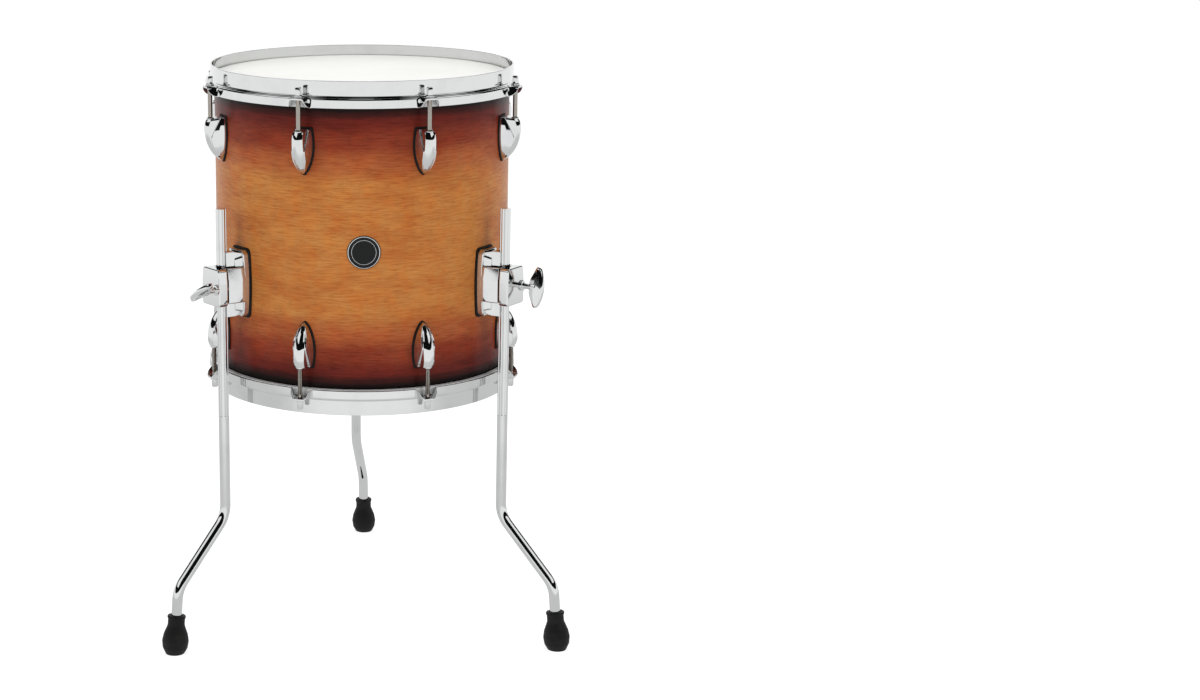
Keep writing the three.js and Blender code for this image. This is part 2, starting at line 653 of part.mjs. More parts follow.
// The cap in front of the leg: a V inside, and a slot for the screw that is open at one side.
function clampCap() {
  const [w, h, c] = [CAP_HALF_WIDTH, CAP_HALF_HEIGHT, CAP_CORNER];
  const outline = [
    [c - w, -h], [w - c, -h], [w, c - h], [w, h - c], [w - c, h], [c - w, h], [-w, h - c], [-w, c - h],
  ].map(([x, y]) => new THREE.Vector2(x, y));
  const outside = capInside + CAP_THICKNESS;
  const body = join(
    draftedBlock(outline, capInside, outside - CAP_BEVEL, 0),
    draftedBlock(outline, outside - CAP_BEVEL - SEAT_GAP, outside, CAP_BEVEL),
  );
  const apex = legCircle + (legRadius + SEAT_GAP) * Math.SQRT2;
  const depth = apex - capInside + OVERCUT;
  const groove = prismUp(new THREE.Shape([
    new THREE.Vector2(0, -apex), new THREE.Vector2(depth, depth - apex),
    new THREE.Vector2(-depth, depth - apex),
  ]), -h - OVERCUT, h + OVERCUT);
  const radius = SCREW_DIAMETER / 2 + SEAT_GAP;
  const lift = CAP_CENTRE_DROP - SCREW_DROP;
  const slot = new THREE.Shape();
  slot.moveTo(w + OVERCUT, lift - radius);
  slot.lineTo(w + OVERCUT, lift + radius);
  slot.lineTo(SCREW_OFFSET, lift + radius);
  slot.absarc(SCREW_OFFSET, lift, radius / Math.cos(HALF_TURN / BORE_SIDES), QUARTER_TURN,
    QUARTER_TURN + HALF_TURN, false);
  const cut = prismOutwards(slot, capInside - OVERCUT, outside + OVERCUT);
  return body.subtract(groove).subtract(cut);
}

// The wing screw on its own axis, pointing outwards along -Y: shank, collar, neck and wing.
function wingScrew() {
  const shank = SCREW_DIAMETER / 2;
  const collarUnder = capInside + CAP_THICKNESS + SEAT_GAP;
  const neckUnder = collarUnder + SCREW_COLLAR_THICKNESS;
  const wingUnder = neckUnder + SCREW_NECK;
  const post = revolveOutwards([
    [0, clampFace - SCREW_ENGAGEMENT],
    [shank, clampFace - SCREW_ENGAGEMENT],
    [shank, collarUnder],
    [SCREW_COLLAR_RADIUS, collarUnder],
    [SCREW_COLLAR_RADIUS, neckUnder],
    [shank, neckUnder],
    [shank, wingUnder + WING_HEIGHT / 4],
    [0, wingUnder + WING_HEIGHT / 4],
  ], BORE_SIDES);
  const crest = wingUnder + WING_HEIGHT;
  const tipUnder = wingUnder + WING_TIP_RISE;
  const tipTop = tipUnder + WING_TIP_HEIGHT;
  const shape = new THREE.Shape();
  shape.moveTo(-WING_HUB_HALF_WIDTH, -wingUnder);
  shape.lineTo(WING_HUB_HALF_WIDTH, -wingUnder);
  shape.quadraticCurveTo(WING_HALF_SPAN / 2, -wingUnder - WING_TIP_RISE / 2, WING_HALF_SPAN, -tipUnder);
  shape.lineTo(WING_HALF_SPAN, -tipTop);
  shape.quadraticCurveTo(0, tipTop - 2 * crest, -WING_HALF_SPAN, -tipTop);
  shape.lineTo(-WING_HALF_SPAN, -tipUnder);
  shape.quadraticCurveTo(
    -WING_HALF_SPAN / 2, -wingUnder - WING_TIP_RISE / 2, -WING_HUB_HALF_WIDTH, -wingUnder);
  const wing = prismUp(shape, -WING_THICKNESS / 2, WING_THICKNESS / 2, 2 * CORNER_SEGMENTS);
  return post.add(wing);
}

// The leg's centre line in the plane of its bends, as { out, up, angle } stations.
function legStations() {
  const slope = LEG_SLOPE * DEGREE;
  const lean = LEG_LEAN * DEGREE;
  const upper = { out: 0, up: -UPPER_BEND_DEPTH };
  const lower = { out: LEG_OFFSET, up: lowerBendHeight };
  const stations = [];
  const bend = (corner, before, after) => {
    const tangent = BEND_RADIUS * Math.tan(Math.abs(after - before) / 2);
    const side = Math.sign(after - before);
    const start = {
      out: corner.out - tangent * Math.sin(before), up: corner.up + tangent * Math.cos(before),
    };
    for (let i = 0; i <= BEND_STEPS; i += 1) {
      const angle = THREE.MathUtils.lerp(before, after, i / BEND_STEPS);
      stations.push({
        out: start.out + side * BEND_RADIUS * (Math.cos(before) - Math.cos(angle)),
        up: start.up - side * BEND_RADIUS * (Math.sin(angle) - Math.sin(before)),
        angle,
      });
    }
  };
  stations.push({ out: 0, up: -FLUTE_END_DEPTH + OVERCUT, angle: 0 });
  bend(upper, 0, slope);
  bend(lower, slope, lean);
  const end = floorHeight + LEG_END_HEIGHT;
  stations.push({ out: lower.out + (lower.up - end) * Math.tan(lean), up: end, angle: lean });
  return stations;
}

// A leg on its own upright axis, bent towards -Y: a fluted bar above, a round one below.
function legSolid() {
  const rings = legStations().map(({ out, up, angle }) => {
    const ring = [];
    for (let i = 0; i < LEG_SIDES; i += 1) {
      const turn = FULL_TURN * i / LEG_SIDES;
      const across = legRadius * Math.sin(turn);
      const inPlane = legRadius * Math.cos(turn);
      ring.push(new THREE.Vector3(
        across, -out - inPlane * Math.cos(angle), up + inPlane * Math.sin(angle)));
    }
    return ring;
  });
  const ridges = [];
  for (let i = 0; i < 2 * FLUTE_COUNT; i += 1) {
    const turn = FULL_TURN * i / (2 * FLUTE_COUNT);
    const radius = i % 2 === 0 ? legRadius : legRadius - FLUTE_DEPTH;
    ridges.push(new THREE.Vector2(radius * Math.sin(turn), radius * Math.cos(turn)));
  }
  const bar = prismUp(new THREE.Shape(ridges), -FLUTE_END_DEPTH, LEG_TOP_HEIGHT);
  return bar.add(loft(rings));
}

// A rubber foot, turned about the end of its leg and flat where it stands.
function footSolid() {
  const lean = LEG_LEAN * DEGREE;
  const top = FOOT_LENGTH / Math.cos(lean);
  const bore = (legRadius + SEAT_GAP) / Math.cos(HALF_TURN / FOOT_SIDES);
  const socketEnd = LEG_END_HEIGHT / Math.cos(lean) - SEAT_GAP;
  const foot = revolve([
    [0, -OVERCUT / 2],
    [FOOT_TREAD_RADIUS, -OVERCUT / 2],
    ...FOOT_BULB_SHARES.map(([radiusShare, share]) => [radiusShare * FOOT_BULB_RADIUS, share * top]),
    ...FOOT_NECK_SHARES.map((share) => [FOOT_NECK_RADIUS, share * top]),
    [FOOT_LIP_RADIUS, FOOT_LIP_SHARE * top],
    [FOOT_NECK_RADIUS, top],
    [bore, top],
    [bore, socketEnd],
    [0, socketEnd],
  ], FOOT_SIDES);
  const out = LEG_OFFSET + (lowerBendHeight - floorHeight) * Math.tan(lean);
  const floor = clearingCylinder(
    2 * FOOT_BULB_RADIUS, -FOOT_LENGTH, 0, BORE_SIDES).translate([0, -out, floorHeight]);
  return foot.rotate([-LEG_LEAN, 0, 0]).translate([0, -out, floorHeight]).subtract(floor);
}

function legGroup({ side, azimuth, legTurn, wingTurn }, pieces) {
  const group = new THREE.Group();
  group.rotation.z = azimuth * DEGREE;

  const bracket = new THREE.Group();
  bracket.position.z = -BRACKET_DROP;
  bracket.add(toMesh(`${side}_bracket_gasket`, pieces.gasket, rubber));
  bracket.add(toMesh(`${side}_leg_bracket`, pieces.casting, chrome));
  const cap = toMesh(`${side}_clamp_cap`, pieces.cap, chrome);
  cap.position.z = -CAP_CENTRE_DROP;
  bracket.add(cap);
  const screw = toMesh(`${side}_wing_screw`, pieces.screw, chrome);
  screw.position.set(SCREW_OFFSET, 0, -SCREW_DROP);
  screw.rotation.y = -wingTurn * DEGREE;
  bracket.add(screw);
  group.add(bracket);

  const leg = new THREE.Group();
  leg.position.y = -legCircle;
  leg.rotation.z = legTurn * DEGREE;
  leg.add(toMesh(`${side}_leg`, pieces.leg, chrome));
  leg.add(toMesh(`${side}_foot`, pieces.foot, rubber));
  group.add(leg);
  return group;
}

const outlineOutwards = prismOutwards(
  bracketOutline(0), shellRadius - OVERCUT, shellRadius + GASKET_THICKNESS + OVERCUT);
const legPieces = {
  gasket: layerOnShell(outlineOutwards, GASKET_THICKNESS),
  casting: bracketCasting(),
  cap: clampCap(),
  screw: wingScrew(),
  leg: legSolid(),
  foot: footSolid(),
};

const drum = new THREE.Group();
drum.add(toMesh('shell', shellSolid(), maple));
const badge = toMesh('badge', badgeSolid(), enamel);
badge.position.z = -BADGE_DROP;
drum.add(badge);
const vent = toMesh('vent_eyelet', ventEyelet(), chrome);
vent.rotation.z = VENT_AZIMUTH * DEGREE;
drum.add(vent);
drum.add(headGroup('batter', whiteFilm, 1));
const resonantHead = headGroup('reso', clearFilm, -1);
resonantHead.rotation.y = HALF_TURN;
drum.add(resonantHead);
LEG_STATIONS.forEach((station) => drum.add(legGroup(station, legPieces)));

// The part's origin is the middle of its box, on the floor.
const floorTom = new THREE.Group();
floorTom.name = 'floor_tom';
floorTom.add(drum);
floorTom.updateMatrixWorld(true);
const box = new THREE.Box3().setFromObject(floorTom, true);
const middle = box.getCenter(new THREE.Vector3());
drum.position.set(-middle.x, -middle.y, -box.min.z);

export default floorTom;
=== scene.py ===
"""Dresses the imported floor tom: smooth meshes, procedural finishes, a pale floor and soft light.

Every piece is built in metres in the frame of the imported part. The drum's own frame has its origin
in the middle of the shell, +Z up and the front of the drum towards -Y. An azimuth turns from the
front towards +X. What sits on the drum's side is built at the front and then turned into place.
"""

from __future__ import annotations

import json
import logging
import math
from collections.abc import Callable, Iterable, Iterator, Sequence
from contextlib import contextmanager
from dataclasses import dataclass, field, replace
from enum import Enum

import bmesh
import bpy
import numpy as np
from mathutils import Color, Matrix, Vector

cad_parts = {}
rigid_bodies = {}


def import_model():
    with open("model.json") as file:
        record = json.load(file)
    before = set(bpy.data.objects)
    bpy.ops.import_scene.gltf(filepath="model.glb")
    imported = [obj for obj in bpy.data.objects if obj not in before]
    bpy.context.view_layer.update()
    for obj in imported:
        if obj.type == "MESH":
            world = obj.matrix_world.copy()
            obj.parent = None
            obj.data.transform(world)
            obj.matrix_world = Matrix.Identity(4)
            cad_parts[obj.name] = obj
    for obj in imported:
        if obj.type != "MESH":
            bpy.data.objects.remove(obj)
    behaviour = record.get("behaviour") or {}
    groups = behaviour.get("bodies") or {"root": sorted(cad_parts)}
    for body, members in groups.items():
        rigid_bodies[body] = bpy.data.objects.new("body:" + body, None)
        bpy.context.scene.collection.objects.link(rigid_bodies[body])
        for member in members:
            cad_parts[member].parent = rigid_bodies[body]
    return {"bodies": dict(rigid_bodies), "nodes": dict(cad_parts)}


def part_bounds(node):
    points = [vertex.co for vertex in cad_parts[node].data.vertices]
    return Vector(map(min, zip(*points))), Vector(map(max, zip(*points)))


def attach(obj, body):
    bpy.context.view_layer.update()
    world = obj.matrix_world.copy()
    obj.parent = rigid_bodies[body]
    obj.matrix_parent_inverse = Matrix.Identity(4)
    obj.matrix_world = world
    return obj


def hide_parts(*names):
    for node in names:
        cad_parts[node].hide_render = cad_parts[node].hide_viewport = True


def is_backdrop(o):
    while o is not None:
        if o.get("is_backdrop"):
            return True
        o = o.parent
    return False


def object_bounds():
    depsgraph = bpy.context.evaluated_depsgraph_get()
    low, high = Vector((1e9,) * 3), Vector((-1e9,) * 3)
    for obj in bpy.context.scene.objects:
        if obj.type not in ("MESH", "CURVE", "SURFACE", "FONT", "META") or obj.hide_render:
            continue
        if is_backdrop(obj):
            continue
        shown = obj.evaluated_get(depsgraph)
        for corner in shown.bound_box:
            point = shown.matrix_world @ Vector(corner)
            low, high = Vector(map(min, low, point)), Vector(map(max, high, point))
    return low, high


LOG = logging.getLogger("floor_tom")

MM = 0.001
QUARTER = math.pi / 2
HALF = math.pi
FULL = 2 * math.pi

SHELL_RADIUS = 177.8 * MM
SHELL_HALF_DEPTH = 182.3 * MM
SHELL_WALL = 6 * MM
BADGE_DROP = 2 * MM
ROD_COUNT = 8
ROD_CIRCLE = 194.4 * MM
LEG_CIRCLE = 206 * MM
LEG_RADIUS = 6.35 * MM

SMOOTH_ANGLE = math.radians(34)
CAST_ANGLE = math.radians(32)
WELD = 0.002 * MM
TINY = 1e-12
"""Stands for a length of zero where something is divided by it."""
LEAST_BEND = 0.02
"""A corner that turns by less than this, in radians, stays as it is."""
MOST_REACH_SHARE = 0.48
"""How much of the shorter side a rounding may take."""
LEAST_COSINE = 0.3
"""Keeps a sharp corner from moving too far when its outline moves inwards."""
HALFWAY = 0.29
"""The share of a rounding that is gone halfway round it."""

Outline = list[tuple[float, float]]
Corner = tuple[float, float, float]
Span = tuple[float, float]
Piece = bpy.types.Object
Values = dict[str, object]


class Slot(Enum):
    """The material slots of the record."""

    SHELL = "shell_wood"
    BADGE = "badge_enamel"
    CHROME = "chrome_hardware"
    ROD = "rod_steel"
    FLESH_HOOP = "flesh_hoop_aluminium"
    WHITE_FILM = "white_film"
    CLEAR_FILM = "clear_film"
    RUBBER = "black_rubber"


# Shader and geometry node trees


def operator(operation: str, reflected: bool = False) -> Callable[[Wire, Wire | float], Wire]:
    """Makes a Wire's method for one of Python's operators.

    Args:
        operation: the Math node's operation.
        reflected: whether the other value comes first.

    Returns:
        The method.
    """

    def method(wire: Wire, other: Wire | float) -> Wire:
        """The Math node of this and the other."""
        values = (other, wire) if reflected else (wire, other)
        return wire.bench.calculate(operation, *values)

    return method


class Wire:
    """An output of a node, which Python's operators turn into Math nodes."""

    def __init__(self, bench: Bench, node: bpy.types.Node, output: str | int = 0) -> None:
        """Holds a node's output and the bench that adds nodes after it."""
        self.bench = bench
        self.node = node
        self.output = output

    def __getitem__(self, output: str | int) -> Wire:
        """Another output of the same node."""
        return Wire(self.bench, self.node, output)

    @property
    def socket(self) -> bpy.types.NodeSocket:
        """The output's socket."""
        return self.node.outputs[self.output]

    __add__ = __radd__ = operator("ADD")
    __sub__ = operator("SUBTRACT")
    __rsub__ = operator("SUBTRACT", reflected=True)
    __mul__ = __rmul__ = operator("MULTIPLY")
    __truediv__ = operator("DIVIDE")
    __mod__ = operator("FLOORED_MODULO")
    __pow__ = operator("POWER")
    most = operator("MAXIMUM")

    def __abs__(self) -> Wire:
        """This without its sign."""
        return self.bench.calculate("ABSOLUTE", self)

    def floor(self) -> Wire:
        """This rounded down."""
        return self.bench.calculate("FLOOR", self)

    def step(self, start: float, end: float, low: float = 0.0, high: float = 1.0) -> Wire:
        """A smooth step from low to high, between two values of this."""
        inputs = {0: self, 1: start, 2: end, 3: low, 4: high}
        return self.bench.node("ShaderNodeMapRange", inputs, interpolation_type="SMOOTHSTEP")


class Bench:
    """Builds one node tree, for a material, the world or Geometry Nodes."""

    def __init__(self, tree: bpy.types.NodeTree) -> None:
        """Takes a tree and empties it."""
        self.tree = tree
        tree.nodes.clear()

    def node(
        self, kind: str, inputs: dict[str | int, object] | None = None, **settings: object
    ) -> Wire:
        """Adds one node.

        Args:
            kind: the node's type.
            inputs: a value, a Wire or a list of Wires for each input, by name or by place.
            settings: its own properties, and a colour ramp's stops. They are set first.

        Returns:
            The node's first output.
        """
        node = self.tree.nodes.new(kind)
        for name, value in settings.items():
            if name == "stops":
                self._set_stops(node.color_ramp, value)
            else:
                setattr(node, name, value)
        for key, value in (inputs or {}).items():
            for source in value if isinstance(value, list) else [value]:
                if isinstance(source, Wire):
                    self.tree.links.new(source.socket, node.inputs[key])
                else:
                    node.inputs[key].default_value = source
        return Wire(self, node)

    @staticmethod
    def _set_stops(ramp: bpy.types.ColorRamp, stops: Sequence[tuple[float, tuple]]) -> None:
        """Gives a colour ramp its stops, a position and a colour each, with eased spans."""
        while len(ramp.elements) < len(stops):
            ramp.elements.new(1.0)
        for element, (position, tone) in zip(ramp.elements, stops):
            element.position = position
            element.color = tone
        ramp.interpolation = "EASE"

    def calculate(self, operation: str, *values: Wire | float) -> Wire:
        """The result of one Math node."""
        return self.node("ShaderNodeMath", dict(enumerate(values)), operation=operation)

    def position(self, centre: Vector) -> Wire:
        """Object coordinates that are centred on a place in the row frame."""
        coordinates = self.node("ShaderNodeTexCoord")
        inputs = {"Vector": coordinates["Object"], "Location": tuple(-centre)}
        return self.node("ShaderNodeMapping", inputs, vector_type="POINT")

    def parts(self, vector: Wire) -> tuple[Wire, Wire, Wire]:
        """The X, Y and Z of a vector."""
        node = self.node("ShaderNodeSeparateXYZ", {0: vector})
        return node, node[1], node[2]

    def vector(self, x: Wire | float, y: Wire | float, z: Wire | float) -> Wire:
        """A vector from its X, Y and Z."""
        return self.node("ShaderNodeCombineXYZ", {0: x, 1: y, 2: z})

    def radius(self, x: Wire, y: Wire) -> Wire:
        """The distance from an axis."""
        return (x * x + y * y) ** 0.5

    def noise(self, vector: Wire, scale: float, detail: float = 2.0, rough: float = 0.5) -> Wire:
        """Noise from 0 to 1, with its cells per metre, octaves and the fine octaves' strength."""
        inputs = {"Vector": vector, "Scale": scale, "Detail": detail, "Roughness": rough}
        return self.node("ShaderNodeTexNoise", inputs)

    def mix(self, factor: Wire | float, a: object, b: object, blend: str = "MIX") -> Wire:
        """The colour a, with as much of the colour b as the factor says."""
        settings = {"data_type": "RGBA", "blend_type": blend, "clamp_factor": True}
        return self.node("ShaderNodeMix", {0: factor, 6: a, 7: b}, **settings)[2]

    def bump(self, height: Wire, distance: float, strength: float = 1.0) -> Wire:
        """A normal that a height bends, where a height of 1 is a distance in metres."""
        inputs = {"Height": height, "Distance": distance, "Strength": strength}
        return self.node("ShaderNodeBump", inputs)


def colour(code: str) -> tuple[float, float, float, float]:
    """The linear colour of a six digit code as it shows on a screen, such as "bc7f48"."""
    shown = Color([part / 255 for part in bytes.fromhex(code)])
    return (*shown.from_srgb_to_scene_linear(), 1.0)


def new_material(name: str) -> tuple[bpy.types.Material, Bench]:
    """An empty material, and the bench for its nodes."""
    made = bpy.data.materials.new(name)
    made.use_nodes = True
    return made, Bench(made.node_tree)


# Finishes


@dataclass(frozen=True)
class Finish:
    """A finish, which makes one material."""

    name: str

    def _surface(self, bench: Bench, centre: Vector) -> Values:
        """A value or Wire for each input of the Principled shader that the finish sets."""
        raise NotImplementedError

    def material(self, centre: Vector) -> bpy.types.Material:
        """Makes the material.

        Args:
            centre: the middle of the drum, in the row frame.

        Returns:
            The material.
        """
        made, bench = new_material(self.name)
        shader = bench.node("ShaderNodeBsdfPrincipled", self._surface(bench, centre))
        bench.node("ShaderNodeOutputMaterial", {"Surface": shader})
        return made


@dataclass(frozen=True)
class Chrome(Finish):
    """Polished plate, with a trace of unevenness and of fingers."""

    tint: str = "dfe0e0"
    smeared: str = "d6d7d8"
    smear: float = 0.6
    smear_span: Span = (0.45, 0.75)
    roughness: float = 0.04
    smear_roughness: float = 0.05
    ripple: float = 0.004 * MM

    def _surface(self, bench: Bench, centre: Vector) -> Values:
        """The inputs of polished plate."""
        place = bench.position(centre)
        haze = bench.noise(place, scale=38.0, detail=3.0).step(*self.smear_span)
        fine = bench.noise(place, scale=900.0)
        return {
            "Base Color": bench.mix(haze * self.smear, colour(self.tint), colour(self.smeared)),
            "Metallic": 1.0,
            "Roughness": haze * self.smear_roughness + self.roughness,
            "Normal": bench.bump(fine, self.ripple),
        }


@dataclass(frozen=True)
class TurnedSteel(Finish):
    """Plated steel of the rods: dull and turned on the shaft, polished on the head."""

    head_start: float = 176.9 * MM
    head_change: float = 0.1 * MM
    tones: tuple[str, str, str] = ("a9a49d", "989289", "dcdddd")
    roughness: float = 0.1
    head_polish: float = 0.6
    line_squeeze: float = 0.2
    line_depth: float = 0.004 * MM

    def _surface(self, bench: Bench, centre: Vector) -> Values:
        """The inputs of the rods' steel."""
        dull, darker, polished = (colour(tone) for tone in self.tones)
        x, y, z = bench.parts(bench.position(centre))
        lines = bench.vector(x * self.line_squeeze, y * self.line_squeeze, z)
        turning = bench.noise(lines, scale=4200.0, detail=1.0)
        cloud = bench.noise(bench.vector(x, y, z), scale=60.0)
        head = abs(z).step(self.head_start, self.head_start + self.head_change)
        rough = turning * self.roughness + self.roughness
        return {
            "Base Color": bench.mix(head, bench.mix(cloud, dull, darker), polished),
            "Metallic": 1.0,
            "Roughness": rough * (1.0 - head * self.head_polish),
            "Normal": bench.bump(turning * (1.0 - head), self.line_depth),
        }


@dataclass(frozen=True)
class RolledAluminium(Finish):
    """Satin aluminium with fine lines along its roll."""

    tones: tuple[str, str] = ("dfe0e1", "f0f0f0")
    roughness: float = 0.35
    line_roughness: float = 0.15
    line_depth: float = 0.006 * MM

    def _surface(self, bench: Bench, centre: Vector) -> Values:
        """The inputs of rolled aluminium."""
        x, y, z = bench.parts(bench.position(centre))
        lines = bench.noise(bench.vector(bench.radius(x, y), 0.0, z), scale=5200.0)
        return {
            "Base Color": bench.mix(lines, *map(colour, self.tones)),
            "Metallic": 0.5,
            "Roughness": lines * self.line_roughness + self.roughness,
            "Normal": bench.bump(lines, self.line_depth),
        }


@dataclass(frozen=True)
class MouldedRubber(Finish):
    """Matte black rubber with a fine moulded grain and a little dust."""

    tint: str = "0b0b0b"
    dust: str = "1b1a19"
    dust_span: Span = (0.45, 0.8)
    roughness: float = 0.5
    cloud_roughness: float = 0.16
    grain_depth: float = 0.03 * MM

    def _surface(self, bench: Bench, centre: Vector) -> Values:
        """The inputs of moulded rubber."""
        place = bench.position(centre)
        cloud = bench.noise(place, scale=55.0, detail=4.0, rough=0.6)
        grain = bench.noise(place, scale=2600.0)
        dusty = cloud.step(*self.dust_span)
        return {
            "Base Color": bench.mix(dusty, colour(self.tint), colour(self.dust)),
            "Roughness": cloud * self.cloud_roughness + self.roughness,
            "Normal": bench.bump(grain, self.grain_depth, strength=0.6),
            "IOR": 1.36,
        }


@dataclass(frozen=True)
class WhiteFilm(Finish):
    """Smooth white film with a soft gloss, a shade warmer towards its rim."""

    tones: tuple[str, str] = ("e6e6e3", "e2e2de")
    tone_span: Span = (0.35, 0.75)
    rim_tone: str = "dfdfda"
    rim_span: Span = (172 * MM, 180 * MM)
    roughness: float = 0.28
    cloud_roughness: float = 0.05
    tooth_depth: float = 0.004 * MM

    def _surface(self, bench: Bench, centre: Vector) -> Values:
        """The inputs of the white film."""
        place = bench.position(centre)
        x, y, _ = bench.parts(place)
        rim = bench.radius(x, y).step(*self.rim_span)
        cloud = bench.noise(place, scale=14.0, detail=3.0)
        tooth = bench.noise(place, scale=1500.0, detail=3.0)
        white = bench.mix(cloud.step(*self.tone_span), *map(colour, self.tones))
        return {
            "Base Color": bench.mix(rim, white, colour(self.rim_tone)),
            "Roughness": cloud * self.cloud_roughness + self.roughness,
            "Normal": bench.bump(tooth, self.tooth_depth),
            "IOR": 1.08,
        }


@dataclass(frozen=True)
class ClearFilm(Finish):
    """Clear polyester film, seen through."""

    tones: tuple[str, str] = ("e9edef", "dfe4e7")
    roughness: float = 0.05
    alpha: float = 0.2
    cloud: float = 0.05

    def _surface(self, bench: Bench, centre: Vector) -> Values:
        """The inputs of the clear film."""
        cloud = bench.noise(bench.position(centre), scale=20.0, detail=3.0)
        return {
            "Base Color": bench.mix(cloud, *map(colour, self.tones)),
            "Roughness": cloud * self.cloud + self.roughness,
            "Alpha": cloud * self.cloud + self.alpha,
            "IOR": 1.57,
        }


@dataclass(frozen=True)
class Grain:
    """One layer of the veneer's figure."""

    round_scale: float
    height_scale: float
    seed: float
    detail: float
    rough: float = 0.6
    span: Span = (0.35, 0.7)
    most: float = 1.0
    tone: str = "000000"

    def at(self, bench: Bench, arc: Wire, z: Wire) -> Wire:
        """The layer's noise, at a way round the shell and a height in metres."""
        place = bench.vector(arc * self.round_scale, z * self.height_scale, self.seed)
        return bench.noise(place, 1.0, self.detail, self.rough)

    def stain(self, bench: Bench, arc: Wire, z: Wire, base: Wire) -> Wire:
        """The base colour with this layer's tone worked in."""
        share = self.at(bench, arc, z).step(*self.span, 0.0, self.most)
        return bench.mix(share, base, colour(self.tone), "SOFT_LIGHT")


@dataclass(frozen=True)
class Sunburst(Finish):
    """Satin lacquer over maple that darkens from honey in the middle to brown at both ends. Its
    darkest stops, next to the hoops, also paint the hoops' shadow onto the wood.
    """

    ply: float = 1 * MM
    skin_span: Span = (1.1 * MM, 0.9 * MM)
    core_span: Span = (0.1 * MM, 0.2 * MM)
    drift: Grain = Grain(3.0, 9.0, 0.0, 3.0)
    drift_reach: float = 14 * MM
    # The sunburst's stops by depth from each end. The darkest ones, next to the hoops, are partly
    # painted shadow of the hoops.
    fade_and_hoop_shadow: tuple[tuple[float, str], ...] = (
        (19 * MM, "0e0202"),
        (26 * MM, "3c120e"),
        (33 * MM, "642017"),
        (59 * MM, "893c23"),
        (82 * MM, "a86136"),
        (110 * MM, "bb7f42"),
    )
    layers: tuple[Grain, ...] = (
        Grain(42.0, 520.0, 0.0, 4.0, 0.6, (0.38, 0.68), 0.42, "5c2a10"),
        Grain(70.0, 45.0, 4.0, 3.0, 0.55, (0.35, 0.7), 0.3, "e0a868"),
        Grain(12.0, 30.0, 9.0, 4.0, 0.6, (0.35, 0.7), 0.42, "6b3412"),
    )
    pores: Grain = Grain(95.0, 950.0, 2.0, 2.0, 0.5, (0.56, 0.7), 0.32, "8a5030")
    pore_depth: float = 0.012 * MM
    bare: Grain = Grain(9.0, 260.0, 7.0, 4.0, 0.6, (0.3, 0.75))
    bare_tones: tuple[str, str] = ("c79a63", "a9763f")
    ply_tone: str = "7d4c24"
    satin: float = 0.36
    sawn: float = 0.6
    coat: float = 0.02

    def _veneer(self, bench: Bench, arc: Wire, z: Wire) -> tuple[Wire, Wire]:
        """The stained face of the shell, with the hoops' painted shadow near its ends.

        Args:
            bench: the material's bench.
            arc: the way round the shell from its front, in metres.
            z: the height over the middle of the shell.

        Returns:
            The colour, and the height of the pores.
        """
        drift = (self.drift.at(bench, arc, z) - 0.5) * self.drift_reach
        depth = SHELL_HALF_DEPTH - abs(z) + drift
        reach = self.fade_and_hoop_shadow[-1][0]
        stops = [(place / reach, colour(code)) for place, code in self.fade_and_hoop_shadow]
        # The sunburst stain, with painted hoop shadow in its darkest stops next to the ends.
        tone = bench.node("ShaderNodeValToRGB", {0: depth / reach}, stops=stops)
        for layer in self.layers:
            tone = layer.stain(bench, arc, z, tone)
        pores = self.pores.at(bench, arc, z).step(*self.pores.span)
        dark = colour(self.pores.tone)
        return bench.mix(pores * self.pores.most, tone, dark, "MULTIPLY"), pores

    def _surface(self, bench: Bench, centre: Vector) -> Values:
        """The inputs of the shell's wood, outside, inside and on its edges."""
        x, y, z = bench.parts(bench.position(centre))
        radius = bench.radius(x, y)
        arc = bench.calculate("ARCTAN2", x, 0.0 - y) * SHELL_RADIUS
        veneer, pores = self._veneer(bench, arc, z)
        inner = SHELL_RADIUS - SHELL_WALL
        streaks = self.bare.at(bench, arc, z).step(*self.bare.span)
        bare = bench.mix(streaks, *map(colour, self.bare_tones))
        layer = ((radius - inner) / self.ply).floor() % 2.0
        edge = bench.mix(layer * 0.5, bare, colour(self.ply_tone))
        outside = radius.step(*(SHELL_RADIUS - depth for depth in self.skin_span))
        inside = radius.step(*(inner + depth for depth in self.core_span))
        rough = outside.step(0.0, 1.0, self.sawn, self.satin)
        return {
            "Base Color": bench.mix(outside, bench.mix(inside, bare, edge), veneer),
            "Roughness": pores * 0.1 + rough,
            "Normal": bench.bump(1.0 - pores, self.pore_depth, strength=0.5),
            "Coat Weight": outside * self.coat,
            "Coat Roughness": 0.22,
            "IOR": 1.22,
        }


@dataclass(frozen=True)
class BadgeEnamel(Finish):
    """Black enamel under two thin bright rings, each with its radius and half width."""

    rings: tuple[Span, ...] = ((18.3 * MM, 0.42 * MM), (14.2 * MM, 0.2 * MM))
    ring_edge: Span = (0.8, 1.2)
    ring_rise: float = 0.08 * MM
    ring_tone: str = "d9dcde"
    tones: tuple[str, str] = ("0a0b0c", "151718")
    speck_span: Span = (0.4, 0.8)

    def _surface(self, bench: Bench, centre: Vector) -> Values:
        """The inputs of the badge's enamel and rings."""
        x, _, z = bench.parts(bench.position(centre - Vector((0.0, 0.0, BADGE_DROP))))
        radius = bench.radius(x, z)
        bright = 0.0
        for place, half in self.rings:
            start, end = (half * share for share in self.ring_edge)
            bright = abs(radius - place).step(start, end, 1.0, 0.0) + bright
        speck = bench.noise(bench.vector(x, 0.0, z), scale=700.0, detail=3.0)
        enamel = bench.mix(speck.step(*self.speck_span), *map(colour, self.tones))
        return {
            "Base Color": bench.mix(bright, enamel, colour(self.ring_tone)),
            "Metallic": bright,
            "Roughness": speck * 0.12 + 0.2,
            "Normal": bench.bump(bright, self.ring_rise, strength=0.7),
            "IOR": 1.3,
        }


